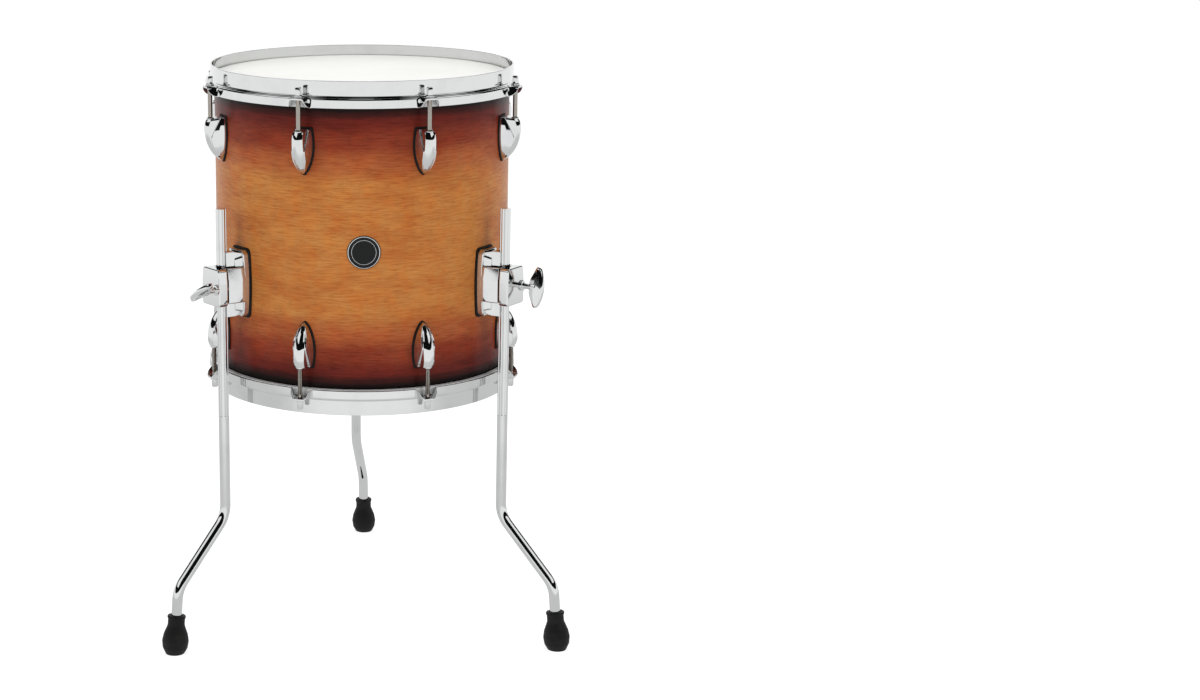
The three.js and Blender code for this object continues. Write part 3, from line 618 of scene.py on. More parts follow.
FINISHES: dict[Slot, Finish] = {
    Slot.SHELL: Sunburst("sunburst_maple"),
    Slot.BADGE: BadgeEnamel("ringed_enamel"),
    Slot.CHROME: Chrome("polished_chrome"),
    Slot.ROD: TurnedSteel("turned_steel"),
    Slot.FLESH_HOOP: RolledAluminium("rolled_aluminium"),
    Slot.WHITE_FILM: WhiteFilm("white_film_gloss"),
    Slot.CLEAR_FILM: ClearFilm("clear_film_gloss"),
    Slot.RUBBER: MouldedRubber("moulded_rubber"),
}


# Forms


def link(name: str, data: bpy.types.ID | None) -> Piece:
    """A new object of some data, in the scene."""
    made = bpy.data.objects.new(name, data)
    bpy.context.scene.collection.objects.link(made)
    return made


@contextmanager
def opened(mesh: bpy.types.Mesh) -> Iterator[bmesh.types.BMesh]:
    """Opens a mesh for editing. Its faces are turned out at the end."""
    work = bmesh.new()
    work.from_mesh(mesh)
    yield work
    bmesh.ops.recalc_face_normals(work, faces=work.faces)
    work.to_mesh(mesh)
    work.free()


def weld(mesh: bpy.types.Mesh) -> None:
    """Merges a mesh's doubles, drops its loose edges and turns its faces out."""
    with opened(mesh) as work:
        bmesh.ops.remove_doubles(work, verts=work.verts, dist=WELD)
        bmesh.ops.dissolve_degenerate(work, edges=work.edges, dist=WELD / 4)
        loose = [edge for edge in work.edges if not edge.link_faces]
        bmesh.ops.delete(work, geom=loose, context="EDGES")


@dataclass
class Form:
    """Points and faces of one closed shape, in metres."""

    points: np.ndarray
    faces: list[tuple[int, ...]]

    def moved(self, matrix: Matrix) -> Form:
        """The form under a matrix.

        Args:
            matrix: a 4 by 4 matrix.

        Returns:
            The moved form. Its faces turn round where the matrix mirrors.
        """
        grid = np.array(matrix)
        points = self.points @ grid[:3, :3].T + grid[:3, 3]
        mirrored = np.linalg.det(grid[:3, :3]) < 0
        return Form(points, [face[::-1] for face in self.faces] if mirrored else self.faces)

    def object(self, name: str) -> Piece:
        """A mesh object of the form, with its doubles merged and its faces out."""
        mesh = bpy.data.meshes.new(name)
        mesh.from_pydata([tuple(point) for point in self.points], [], self.faces)
        weld(mesh)
        return link(name, mesh)


def blend(start: float, end: float, share: float) -> float:
    """The value at a share of the way from start to end."""
    return start + (end - start) * share


def smooth_step(share: float) -> float:
    """A smooth step from 0 to 1."""
    t = min(max(share, 0.0), 1.0)
    return t * t * (3 - 2 * t)


def azimuths(sides: int) -> np.ndarray:
    """Even angles once round."""
    return np.arange(sides) * FULL / sides


def around(
    azimuth: np.ndarray | float, radius: np.ndarray | float, height: np.ndarray | float
) -> np.ndarray:
    """Points about the drum's axis, from azimuths, radii and heights that fit each other."""
    points = (np.sin(azimuth) * radius, -np.cos(azimuth) * radius, height)
    return np.stack(np.broadcast_arrays(*points), axis=-1)


def rounded(corners: Sequence[Corner], steps: int = 4, closed: bool = True) -> Outline:
    """An outline whose corners are rounded.

    Args:
        corners: the two coordinates and the rounding radius of each corner.
        steps: how many spans each rounding has.
        closed: whether the last corner meets the first.

    Returns:
        The outline's points, with steps + 1 points at each rounded corner.
    """
    outline: Outline = []
    count = len(corners)
    for i, (x, y, radius) in enumerate(corners):
        if radius <= 0 or (not closed and i in (0, count - 1)):
            outline.append((x, y))
            continue
        here = np.array((x, y))
        before = np.array(corners[i - 1][:2]) - here
        after = np.array(corners[(i + 1) % count][:2]) - here
        length = min(np.linalg.norm(before), np.linalg.norm(after))
        u, v = before / np.linalg.norm(before), after / np.linalg.norm(after)
        bend = math.acos(float(np.clip(np.dot(u, v), -1, 1)))
        if HALF - bend < LEAST_BEND:
            outline.extend([(x, y)] * (steps + 1))
            continue
        tangent = min(radius / math.tan(bend / 2), length * MOST_REACH_SHARE)
        arm = tangent * math.tan(bend / 2) / math.sin(bend / 2)
        centre = here + (u + v) / np.linalg.norm(u + v) * arm
        start, end = here + u * tangent - centre, here + v * tangent - centre
        turn = math.copysign(1.0, start[0] * end[1] - start[1] * end[0])
        for k in range(steps + 1):
            angle = turn * (HALF - bend) * k / steps
            c, s = math.cos(angle), math.sin(angle)
            x_arm, y_arm = start[0] * c - start[1] * s, start[0] * s + start[1] * c
            outline.append((float(centre[0] + x_arm), float(centre[1] + y_arm)))
    return outline


def rectangle(w: float, h: float, corner: float = 0.0, steps: int = 4) -> Outline:
    """A rectangle of half width w and half height h, with round corners."""
    corners = [(-w, -h, corner), (w, -h, corner), (w, h, corner), (-w, h, corner)]
    return rounded(corners, steps)


def inset(outline: Outline, distance: float) -> Outline:
    """An outline moved inwards along its corners.

    Args:
        outline: a closed outline, counter-clockwise.
        distance: how far in.

    Returns:
        The outline with the same number of points.
    """
    points = np.array(outline)
    spans = np.roll(points, -1, axis=0) - points
    spans /= np.maximum(np.linalg.norm(spans, axis=1, keepdims=True), TINY)
    normals = np.stack((-spans[:, 1], spans[:, 0]), axis=1)
    joint = normals + np.roll(normals, 1, axis=0)
    joint /= np.maximum(np.linalg.norm(joint, axis=1, keepdims=True), TINY)
    cosine = np.maximum((joint * normals).sum(axis=1, keepdims=True), LEAST_COSINE)
    return [tuple(point) for point in points + joint * distance / cosine]


def skin(given: Iterable[Iterable[Sequence[float]]], round_path: bool = False) -> Form:
    """A skin through closed rings of points.

    Args:
        given: the rings, which have as many points each.
        round_path: whether the last ring meets the first. If not, a face closes each end.

    Returns:
        The form.
    """
    rings = np.array(given)
    spans, count = rings.shape[0], rings.shape[1]
    faces: list[tuple[int, ...]] = []
    for i in range(spans if round_path else spans - 1):
        here, there = i * count, ((i + 1) % spans) * count
        for j in range(count):
            k = (j + 1) % count
            faces.append((here + j, here + k, there + k, there + j))
    if not round_path:
        faces.append(tuple(range(count))[::-1])
        faces.append(tuple(range((spans - 1) * count, spans * count)))
    return Form(rings.reshape(-1, 3), faces)


def turned(profile: Outline, sides: int) -> Form:
    """A closed profile of radius and height, turned about +Z. Its ends may be on the axis."""
    section = np.array(profile)
    return skin(around(azimuths(sides)[:, None], section[:, 0], section[:, 1]), round_path=True)


def plug(radius: float, low: float, high: float, sides: int = 32) -> Form:
    """A round bar along +Z, which cuts a hole."""
    return turned([(0, low), (radius, low), (radius, high), (0, high)], sides)


def slab(outline: Outline, low: float, high: float, edge: float, steps: int = 3) -> Form:
    """An upright slab with both of its rims rounded.

    Args:
        outline: across and along, counter-clockwise.
        low: the height of its under face.
        high: the height of its upper face.
        edge: the rounding of its rims.
        steps: how many spans each rounding has.

    Returns:
        The form.
    """
    rings = []
    angles = [QUARTER * k / steps for k in range(steps + 1)]
    for angle in angles:
        shape = inset(outline, edge * (1 - math.sin(angle)))
        rings.append([(x, y, low + edge * (1 - math.cos(angle))) for x, y in shape])
    for angle in angles:
        shape = inset(outline, edge * (1 - math.cos(angle)))
        rings.append([(x, y, high - edge * (1 - math.sin(angle))) for x, y in shape])
    return skin(rings)


def layered(outline: Outline, layers: Iterable[Span]) -> Form:
    """A layer that is bent to the shell at the front of the drum.

    Args:
        outline: across and along, counter-clockwise.
        layers: the radius of each ring and how far it lies inside the outline.

    Returns:
        The form.
    """
    rings = []
    for radius, margin in layers:
        ring = inset(outline, margin)
        rings.append([(x, -math.sqrt(radius**2 - x**2), z) for x, z in ring])
    return skin(rings)


OUTWARDS = Matrix(((1, 0, 0, 0), (0, 0, -1, 0), (0, 1, 0, 0), (0, 0, 0, 1)))
"""Turns a form that was built up +Z so that it points outwards, along -Y."""


def about(axis: str, angle: float) -> Matrix:
    """A turn about an axis."""
    return Matrix.Rotation(angle, 4, axis)


def shift(x: float = 0.0, y: float = 0.0, z: float = 0.0) -> Matrix:
    """A move."""
    return Matrix.Translation((x, y, z))


def freeze(made: Piece) -> Piece:
    """Turns an object's modifiers into a plain mesh.

    Args:
        made: a mesh or curve object.

    Returns:
        The mesh object, or one of the same name in a curve's place.
    """
    bpy.context.view_layer.update()
    evaluated = made.evaluated_get(bpy.context.evaluated_depsgraph_get())
    mesh = bpy.data.meshes.new_from_object(evaluated)
    if made.type == "CURVE":
        name = made.name
        bpy.data.objects.remove(made)
        return link(name, mesh)
    made.modifiers.clear()
    made.data = mesh
    return made


def combine(base: Piece, operation: str, *forms: Form) -> Piece:
    """Adds forms to an object or cuts them out of it.

    Args:
        base: the object.
        operation: UNION or DIFFERENCE.
        forms: what goes into it.

    Returns:
        The object, with its new mesh.
    """
    tools = [form.object("tool") for form in forms]
    for tool in tools:
        modifier = base.modifiers.new("fit", "BOOLEAN")
        modifier.operation = operation
        modifier.solver = "EXACT"
        modifier.object = tool
    freeze(base)
    weld(base.data)
    for tool in tools:
        bpy.data.objects.remove(tool)
    return base


def shade(made: Piece, angle: float = SMOOTH_ANGLE, weigh: bool = False) -> Piece:
    """Shades an object smooth, with its sharp edges kept.

    Args:
        made: the object.
        angle: edges over this angle stay sharp.
        weigh: whether large flat faces keep their own normals.

    Returns:
        The object.
    """
    made.data.shade_smooth()
    made.data.set_sharp_from_angle(angle=angle)
    if weigh:
        modifier = made.modifiers.new("normals", "WEIGHTED_NORMAL")
        modifier.keep_sharp = True
        freeze(made)
    return made


def settle(made: Piece, place: Matrix) -> Piece:
    """Moves a casting's mesh into place and shades it."""
    made.data.transform(place)
    return shade(made, CAST_ANGLE, weigh=True)


@dataclass
class Workshop:
    """The drum's place in the row frame, its finishes, and what hands the pieces over."""

    centre: Vector
    materials: dict[Slot, bpy.types.Material] = field(default_factory=dict)

    @property
    def home(self) -> Matrix:
        """Moves the drum's own frame into the row frame."""
        return Matrix.Translation(self.centre)

    def dress(self, finishes: dict[Slot, Finish]) -> None:
        """Makes the material of each slot."""
        for slot, finish in finishes.items():
            self.materials[slot] = finish.material(self.centre)

    def hand_over(self, made: Piece, body: str, slot: Slot, *nodes: str) -> None:
        """Gives a finished piece its material, its body and the nodes that it stands for.

        Args:
            made: the piece, in place in the row frame.
            body: the body that carries it.
            slot: the record's material slot.
            nodes: the CAD nodes that it replaces.
        """
        made.data.materials.clear()
        made.data.materials.append(self.materials[slot])
        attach(made, body)
        if nodes:
            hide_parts(*nodes)
        LOG.info("%s on %s, %d faces", made.name, body, len(made.data.polygons))


# Geometry Nodes


class NodeTool:
    """A Geometry Nodes tree with named inputs, which ends in a real mesh with its finish."""

    INPUTS: tuple[tuple[str, str], ...] = ()

    def __init__(self) -> None:
        """Builds the tree."""
        self.tree = bpy.data.node_groups.new(type(self).__name__, "GeometryNodeTree")
        sockets = self.tree.interface
        for name, kind in (("Geometry", "Geometry"), *self.INPUTS, ("Finish", "Material")):
            sockets.new_socket(name, in_out="INPUT", socket_type=f"NodeSocket{kind}")
        sockets.new_socket("Geometry", in_out="OUTPUT", socket_type="NodeSocketGeometry")
        bench = Bench(self.tree)
        given = bench.node("NodeGroupInput")
        real = bench.node("GeometryNodeRealizeInstances", {0: self._shape(bench, given)})
        inputs = {"Geometry": real, "Material": given["Finish"]}
        bench.node("NodeGroupOutput", {0: bench.node("GeometryNodeSetMaterial", inputs)})

    def _shape(self, bench: Bench, given: Wire) -> Wire:
        """The geometry, from the group input, whose outputs have the names of the inputs."""
        raise NotImplementedError

    def run(self, seed: Piece, values: Values, place: Matrix) -> Piece:
        """Runs the tree on an object.

        Args:
            seed: the object.
            values: a value for each of the tree's inputs.
            place: moves the result into the row frame.

        Returns:
            The plain mesh object.
        """
        modifier = seed.modifiers.new("tree", "NODES")
        modifier.node_group = self.tree
        for item in self.tree.interface.items_tree:
            if item.in_out == "INPUT" and item.name in values:
                modifier[item.identifier] = values[item.name]
        made = freeze(seed)
        made.data.transform(place)
        return made


class RingOfCopies(NodeTool):
    """Sets copies of a shape round the drum in rows."""

    INPUTS = (
        ("Count", "Int"),
        ("Rows", "Int"),
        ("First Azimuth", "Float"),
        ("Pitch", "Float"),
        ("First Height", "Float"),
        ("Row Height", "Float"),
    )

    def _shape(self, bench: Bench, given: Wire) -> Wire:
        """The copies."""
        count = given["Count"]
        inputs = {"Count": count * given["Rows"], "Offset": (0.0, 0.0, 0.0)}
        points = bench.node("GeometryNodeMeshLine", inputs, mode="OFFSET")
        index = bench.node("GeometryNodeInputIndex")
        row = (index / count).floor()
        azimuth = (index % count) * given["Pitch"] + given["First Azimuth"]
        height = row * given["Row Height"] + given["First Height"]
        offset = bench.vector(0.0, 0.0, height)
        placed = bench.node("GeometryNodeSetPosition", {"Geometry": points, "Offset": offset})
        turn = bench.vector(0.0, 0.0, azimuth)
        inputs = {"Points": placed, "Instance": given["Geometry"], "Rotation": turn}
        return bench.node("GeometryNodeInstanceOnPoints", inputs)

    def spread(
        self,
        seed: Piece,
        home: Matrix,
        azimuth: float,
        heights: Sequence[float] = (0.0,),
        count: int = ROD_COUNT,
    ) -> Piece:
        """Spreads copies of a shape evenly round the drum.

        Args:
            seed: the shape at the front of the drum, at the height of the shell's middle.
            home: moves the drum's own frame into the row frame.
            azimuth: where each row begins.
            heights: the height of each of one or two rows.
            count: how many copies a row has.

        Returns:
            All of the copies as one object.
        """
        values = {
            "Count": count,
            "Rows": len(heights),
            "First Azimuth": azimuth,
            "Pitch": FULL / count,
            "First Height": heights[0],
            "Row Height": heights[-1] - heights[0],
        }
        return self.run(seed, values, home)


class SweptBar(NodeTool):
    """Bends a line at its corners, sweeps a bar along it and sets a fluted one on its start."""

    POINTS_A_FLUTE = 24
    POINTS_A_BEND = 28
    FLUTE_ROUNDNESS = 0.6
    INPUTS = (
        ("Radius", "Float"),
        ("Bend Radius", "Float"),
        ("Sides", "Int"),
        ("Flutes", "Int"),
        ("Flute Depth", "Float"),
        ("Flute Share", "Float"),
        ("Flute Start", "Float"),
        ("Flute End", "Float"),
    )

    @staticmethod
    def _sweep(bench: Bench, path: Wire, section: Wire) -> Wire:
        """A closed bar along a path."""
        inputs = {"Curve": path, "Profile Curve": section, "Fill Caps": True}
        return bench.node("GeometryNodeCurveToMesh", inputs)

    def _shape(self, bench: Bench, given: Wire) -> Wire:
        """The bar and its fluted length."""
        radius, flutes = given["Radius"], given["Flutes"]
        inputs = {
            "Curve": given["Geometry"],
            "Radius": given["Bend Radius"],
            "Limit Radius": True,
            "Count": self.POINTS_A_BEND,
        }
        path = bench.node("GeometryNodeFilletCurve", inputs, mode="POLY")
        inputs = {"Resolution": given["Sides"], "Radius": radius}
        circle = bench.node("GeometryNodeCurvePrimitiveCircle", inputs)
        inputs = {
            "Start": bench.vector(0.0, 0.0, given["Flute Start"]),
            "End": bench.vector(0.0, 0.0, given["Flute End"]),
        }
        upright = bench.node("GeometryNodeCurvePrimitiveLine", inputs)
        inputs = {"Resolution": flutes * self.POINTS_A_FLUTE, "Radius": radius}
        ring = bench.node("GeometryNodeCurvePrimitiveCircle", inputs)
        x, y, _ = bench.parts(bench.node("GeometryNodeInputPosition"))
        turn = bench.calculate("ARCTAN2", y, x) * flutes / FULL
        away = abs(turn % 1.0 - 0.5) / (given["Flute Share"] * 0.5)
        dip = (1.0 - away).most(0.0) ** self.FLUTE_ROUNDNESS * given["Flute Depth"]
        share = 1.0 - dip / radius
        inputs = {"Geometry": ring, "Position": bench.vector(x * share, y * share, 0.0)}
        ridges = bench.node("GeometryNodeSetPosition", inputs)
        both = [self._sweep(bench, path, circle), self._sweep(bench, upright, ridges)]
        return bench.node("GeometryNodeJoinGeometry", {0: both})

    def sweep(
        self, name: str, corners: Sequence[Corner], values: Values, place: Matrix
    ) -> Piece:
        """Sweeps a bar along a line of corners.

        Args:
            name: the piece's name.
            corners: the line's corners.
            values: a value for each of the tree's inputs.
            place: moves the bar into the row frame.

        Returns:
            A mesh object.
        """
        line = bpy.data.curves.new(name, "CURVE")
        line.dimensions = "3D"
        spline = line.splines.new("POLY")
        spline.points.add(len(corners) - 1)
        for point, corner in zip(spline.points, corners):
            point.co = (*corner, 1.0)
        return self.run(link(name, line), values, place)


# Shell


@dataclass
class Shell:
    """The wooden wall with its badge and vent."""

    outer_edge: float = 1.5 * MM
    outer_softening: float = 0.4 * MM
    inner_softening: float = 0.5 * MM
    sides: int = 256
    fit: float = 0.05 * MM
    badge_radius: float = 19.5 * MM
    badge_rise: float = 1.4 * MM
    badge_shares: tuple[Span, ...] = (
        (0.0, 0.72),
        (0.5, 0.72),
        (0.86, 0.72),
        (0.9, 0.74),
        (0.925, 0.98),
        (0.955, 1.0),
        (0.985, 0.9),
        (1.0, 0.6),
        (1.0, 0.0),
        (0.5, 0.0),
        (0.0, 0.0),
    )
    badge_sides: int = 96
    vent_azimuth: float = math.radians(135)
    vent_bore: float = 5 * MM
    vent_tube: float = 0.8 * MM
    vent_flange: float = 9 * MM
    vent_lip: float = 0.6 * MM
    vent_rise: float = 1.3 * MM
    vent_softenings: tuple[float, ...] = (1.1 * MM, 0.5 * MM, 0.2 * MM, 0.1 * MM)
    vent_overcut: float = 4 * MM

    def wall_object(self, home: Matrix) -> Piece:
        """The wall, with a bearing edge at each end and the vent's hole."""
        outer, inner = SHELL_RADIUS, SHELL_RADIUS - SHELL_WALL
        top, peak = SHELL_HALF_DEPTH, SHELL_RADIUS - self.outer_edge
        slope = SHELL_WALL - self.outer_edge
        corners = [
            (outer, -top + self.outer_edge, self.outer_softening),
            (outer, top - self.outer_edge, self.outer_softening),
            (peak, top, self.inner_softening),
            (inner, top - slope, self.inner_softening),
            (inner, -top + slope, self.inner_softening),
            (peak, -top, self.inner_softening),
        ]
        wall = turned(rounded(corners), self.sides).moved(home).object("shell_wall")
        bore = self.vent_bore + self.vent_tube + 2 * self.fit
        drill = plug(bore, inner - self.vent_overcut, outer + self.vent_overcut, 48)
        combine(wall, "DIFFERENCE", drill.moved(home @ about("Z", self.vent_azimuth) @ OUTWARDS))
        return shade(wall, math.radians(30), weigh=True)

    def vent_object(self, home: Matrix) -> Piece:
        """The grommet, rolled over inside and out."""
        bore, tube, flange = self.vent_bore, self.vent_bore + self.vent_tube, self.vent_flange
        outer = SHELL_RADIUS + self.fit
        inner = math.sqrt((SHELL_RADIUS - SHELL_WALL) ** 2 - flange**2) - self.fit
        rises = (self.vent_rise, self.vent_rise * 0.6, 0.0, 0.0)
        radii = (bore, flange - self.vent_lip, flange, tube)
        half = list(zip(radii, rises, self.vent_softenings))
        corners = [(radius, outer + rise, softening) for radius, rise, softening in half]
        corners += [(radius, inner - rise, softening) for radius, rise, softening in half[::-1]]
        place = home @ about("Z", self.vent_azimuth) @ OUTWARDS
        return shade(turned(rounded(corners), 64).moved(place).object("vent_grommet"))

    def badge_object(self, home: Matrix) -> Piece:
        """The badge: a disc bent to the shell, with a raised rim."""
        angles = azimuths(self.badge_sides)
        rings = []
        for share, lift in self.badge_shares:
            across = share * self.badge_radius * np.cos(angles)
            up = share * self.badge_radius * np.sin(angles) - BADGE_DROP
            seat = np.sqrt((SHELL_RADIUS + self.fit) ** 2 - across**2)
            rings.append(np.stack((across, -seat - self.badge_rise * lift, up), axis=1))
        return shade(skin(rings).moved(home).object("badge_disc"))

    def build(self, shop: Workshop) -> None:
        """Hands over the wall, the badge and the vent."""
        shop.hand_over(self.wall_object(shop.home), "drum", Slot.SHELL, "shell")
        shop.hand_over(self.badge_object(shop.home), "drum", Slot.BADGE, "badge")
        shop.hand_over(self.vent_object(shop.home), "drum", Slot.CHROME, "vent_eyelet")


# Heads, hoops, rods and lugs


class End(Enum):
    """The two ends of the drum."""

    BATTER = "batter"
    RESONANT = "reso"

    @property
    def turn(self) -> Matrix:
        """Turns what was built for the top of the drum to this end."""
        return Matrix.Identity(4) if self is End.BATTER else about("Y", HALF)

    @property
    def direction(self) -> int:
        """The way that the stations are counted when the end is turned over."""
        return 1 if self is End.BATTER else -1

    @property
    def film(self) -> Slot:
        """The slot of this end's film."""
        return Slot.WHITE_FILM if self is End.BATTER else Slot.CLEAR_FILM


@dataclass
class Hoop:
    """A flanged hoop: wall, shoulder, and a collar that swings out into the ears."""

    sheet: float = 2.3 * MM
    wall_radius: float = 181.75 * MM
    wall_straight: float = 8 * MM
    top: float = 195.7 * MM
    shoulder: float = 175.75 * MM
    collar_radius: float = 187.85 * MM
    collar_end: float = 165.2 * MM
    collar_shares: tuple[float, ...] = (0.3, 0.65, 1.0)
    ear_tip: float = 201 * MM
    rim_edge: float = 0.45 * MM
    wall_bend: float = 3 * MM
    collar_bend: float = 1.5 * MM
    least_fall: float = 0.05
    ear_half_spread: float = 15.5 * MM
    ear_half_flat: float = 5.5 * MM
    ear_steps: int = 22
    plain_steps: int = 9
    rod_hole: float = 3.2 * MM
    hole_reach: float = 4 * MM
    bend_steps: int = 6
    rim_steps: int = 5

    def swing(self, arc: float) -> float:
        """How far the collar has swung out at a way round from an ear's middle, from 0 to 1."""
        reach = self.ear_half_spread - self.ear_half_flat
        share = min(max((self.ear_half_spread - abs(arc)) / reach, 0.0), 1.0)
        return share**3 * (share * (6 * share - 15) + 10)

    def middle_line(self, swing: float) -> np.ndarray:
        """The middle of the sheet at one azimuth.

        Args:
            swing: how far the collar has swung out.

        Returns:
            Points of radius and height, from the wall's top to the collar's end.
        """
        line = [(self.wall_radius, self.top), (self.wall_radius, self.top - self.wall_straight)]
        for k in range(self.bend_steps + 1):
            angle = QUARTER * k / self.bend_steps
            out = self.wall_radius + self.wall_bend * (1 - math.cos(angle))
            line.append((out, self.shoulder + self.wall_bend * (1 - math.sin(angle))))
        bend = self.collar_bend
        fall = QUARTER * (1 - swing)
        start = self.collar_radius - bend
        for k in range(self.bend_steps + 1):
            angle = max(fall, self.least_fall) * k / self.bend_steps
            out = start + bend * math.sin(angle)
            line.append((out, self.shoulder - bend * (1 - math.cos(angle))))
        hanging = self.shoulder - bend - self.collar_end
        reach = blend(hanging, self.ear_tip - start, swing)
        out, height = line[-1]
        for share in self.collar_shares:
            way = reach * share
            line.append((out + math.cos(fall) * way, height - math.sin(fall) * way))
        return np.array(line)

    def section(self, swing: float) -> np.ndarray:
        """The sheet's closed outline at one azimuth, with its two rims rounded.

        Args:
            swing: how far the collar has swung out.

        Returns:
            Points of radius and height.
        """
        line = self.middle_line(swing)
        along = np.gradient(line, axis=0)
        along /= np.linalg.norm(along, axis=1, keepdims=True)
        out = np.stack((-along[:, 1], along[:, 0]), axis=1)
        half = self.sheet / 2
        one, two = line + out * half, line - out * half
        collar_rim = self.rim(line[-1], along[-1], out[-1])
        wall_rim = self.rim(line[0], -along[0], -out[0])
        return np.concatenate((one[1:-1], collar_rim, two[-2:0:-1], wall_rim))

    def rim(self, tip: np.ndarray, along: np.ndarray, out: np.ndarray) -> np.ndarray:
        """A cut edge of the sheet: flat, with its two corners rounded.

        Args:
            tip: the middle of the edge.
            along: the way that the sheet ends.
            out: the way to the side where the edge begins.

        Returns:
            The edge's points.
        """
        half, edge = self.sheet / 2, self.rim_edge
        angles = np.linspace(0, QUARTER, self.rim_steps + 1)
        points = []
        for side in (1, -1):
            centre = tip - along * edge + out * side * (half - edge)
            for angle in angles[::side]:
                arm = out * side * math.cos(angle) + along * math.sin(angle)
                points.append(centre + edge * arm)
        return np.array(points)

    def form(self) -> Form:
        """The whole hoop, without its holes."""
        pitch = FULL / ROD_COUNT
        near = np.linspace(-self.ear_half_spread, self.ear_half_spread, 2 * self.ear_steps + 1)
        near = near / self.collar_radius
        far = np.linspace(near[-1], pitch + near[0], self.plain_steps + 1)[1:-1]
        sections = [self.section(self.swing(offset * self.collar_radius)) for offset in near]
        sections += [self.section(0.0)] * len(far)
        rings = []
        for ear in range(ROD_COUNT):
            for offset, ring in zip((*near, *far), sections):
                rings.append(around((ear + 0.5) * pitch + offset, ring[:, 0], ring[:, 1]))
        return skin(rings, round_path=True)

    def object(self, end: End, home: Matrix) -> Piece:
        """The hoop of one end, with a hole in each ear."""
        place = home @ end.turn
        hoop = self.form().moved(place).object(f"{end.value}_hoop_pressing")
        low, high = self.shoulder - self.hole_reach, self.shoulder + self.hole_reach
        hole = plug(self.rod_hole, low, high, 24)
        holes = []
        for ear in range(ROD_COUNT):
            azimuth = (ear + 0.5) * FULL / ROD_COUNT
            holes.append(hole.moved(place @ about("Z", azimuth) @ shift(y=-ROD_CIRCLE)))
        return shade(combine(hoop, "DIFFERENCE", *holes), math.radians(40), weigh=True)


@dataclass
class Head:
    """A film, the flesh hoop that holds its edge, and the hoop over it."""

    film_top: float = 183.1 * MM
    film_thickness: float = 0.5 * MM
    film_bend_start: float = 176.6 * MM
    film_radius: float = 180.1 * MM
    film_tuck: float = 1 * MM
    film_shares: tuple[float, ...] = (0.25, 0.5, 0.75)
    flesh_inside: float = 179 * MM
    flesh_width: float = 6.7 * MM
    flesh_top: float = 174.3 * MM
    flesh_height: float = 9.4 * MM
    flesh_softening: float = 0.8 * MM
    channel: Span = (1.5 * MM, 3 * MM)
    channel_softenings: Span = (0.4 * MM, 0.3 * MM)
    sides: int = 192
    hoop: Hoop = field(default_factory=Hoop)

    def film_form(self) -> Form:
        """The film: flat, then bent down over the bearing edge."""
        t, top, out = self.film_thickness, self.film_top, self.film_radius
        low = self.flesh_top - self.film_tuck
        bend = out - self.film_bend_start
        upper = rounded([(0, top, 0), (out, top, bend), (out, low, 0)], 10, closed=False)
        inner = [(0, top - t, 0), (out - t, top - t, bend - t), (out - t, low, 0)]
        under = rounded(inner, 10, closed=False)
        rings = [self.film_bend_start * share for share in self.film_shares]
        rings_out = [(radius, top) for radius in rings]
        rings_in = [(radius, top - t) for radius in rings[::-1]]
        profile = [upper[0], *rings_out, *upper[1:], *under[:0:-1], *rings_in, under[0]]
        return turned(profile, self.sides)

    def flesh_form(self) -> Form:
        """The aluminium ring with its channel."""
        inner, top = self.flesh_inside, self.flesh_top
        outer, low = inner + self.flesh_width, top - self.flesh_height
        step, floor = inner + self.channel[0], top - self.channel[1]
        soft = self.flesh_softening
        mouth, root = self.channel_softenings
        corners = [(inner, low, soft), (outer, low, soft), (outer, top, soft)]
        corners += [(step, top, mouth), (step, floor, root), (inner, floor, root)]
        return turned(rounded(corners), self.sides)

    def build(self, end: End, shop: Workshop) -> None:
        """Hands over the film, the flesh hoop and the hoop of one end."""
        body, place = f"{end.value}_head", shop.home @ end.turn
        film = shade(self.film_form().moved(place).object(f"{end.value}_film_skin"))
        shop.hand_over(film, body, end.film, f"{end.value}_head_film")
        flesh = shade(self.flesh_form().moved(place).object(f"{end.value}_flesh_ring"))
        shop.hand_over(flesh, body, Slot.FLESH_HOOP, f"{end.value}_flesh_hoop")
        hoop = self.hoop.object(end, shop.home)
        shop.hand_over(hoop, body, Slot.CHROME, f"{end.value}_hoop")


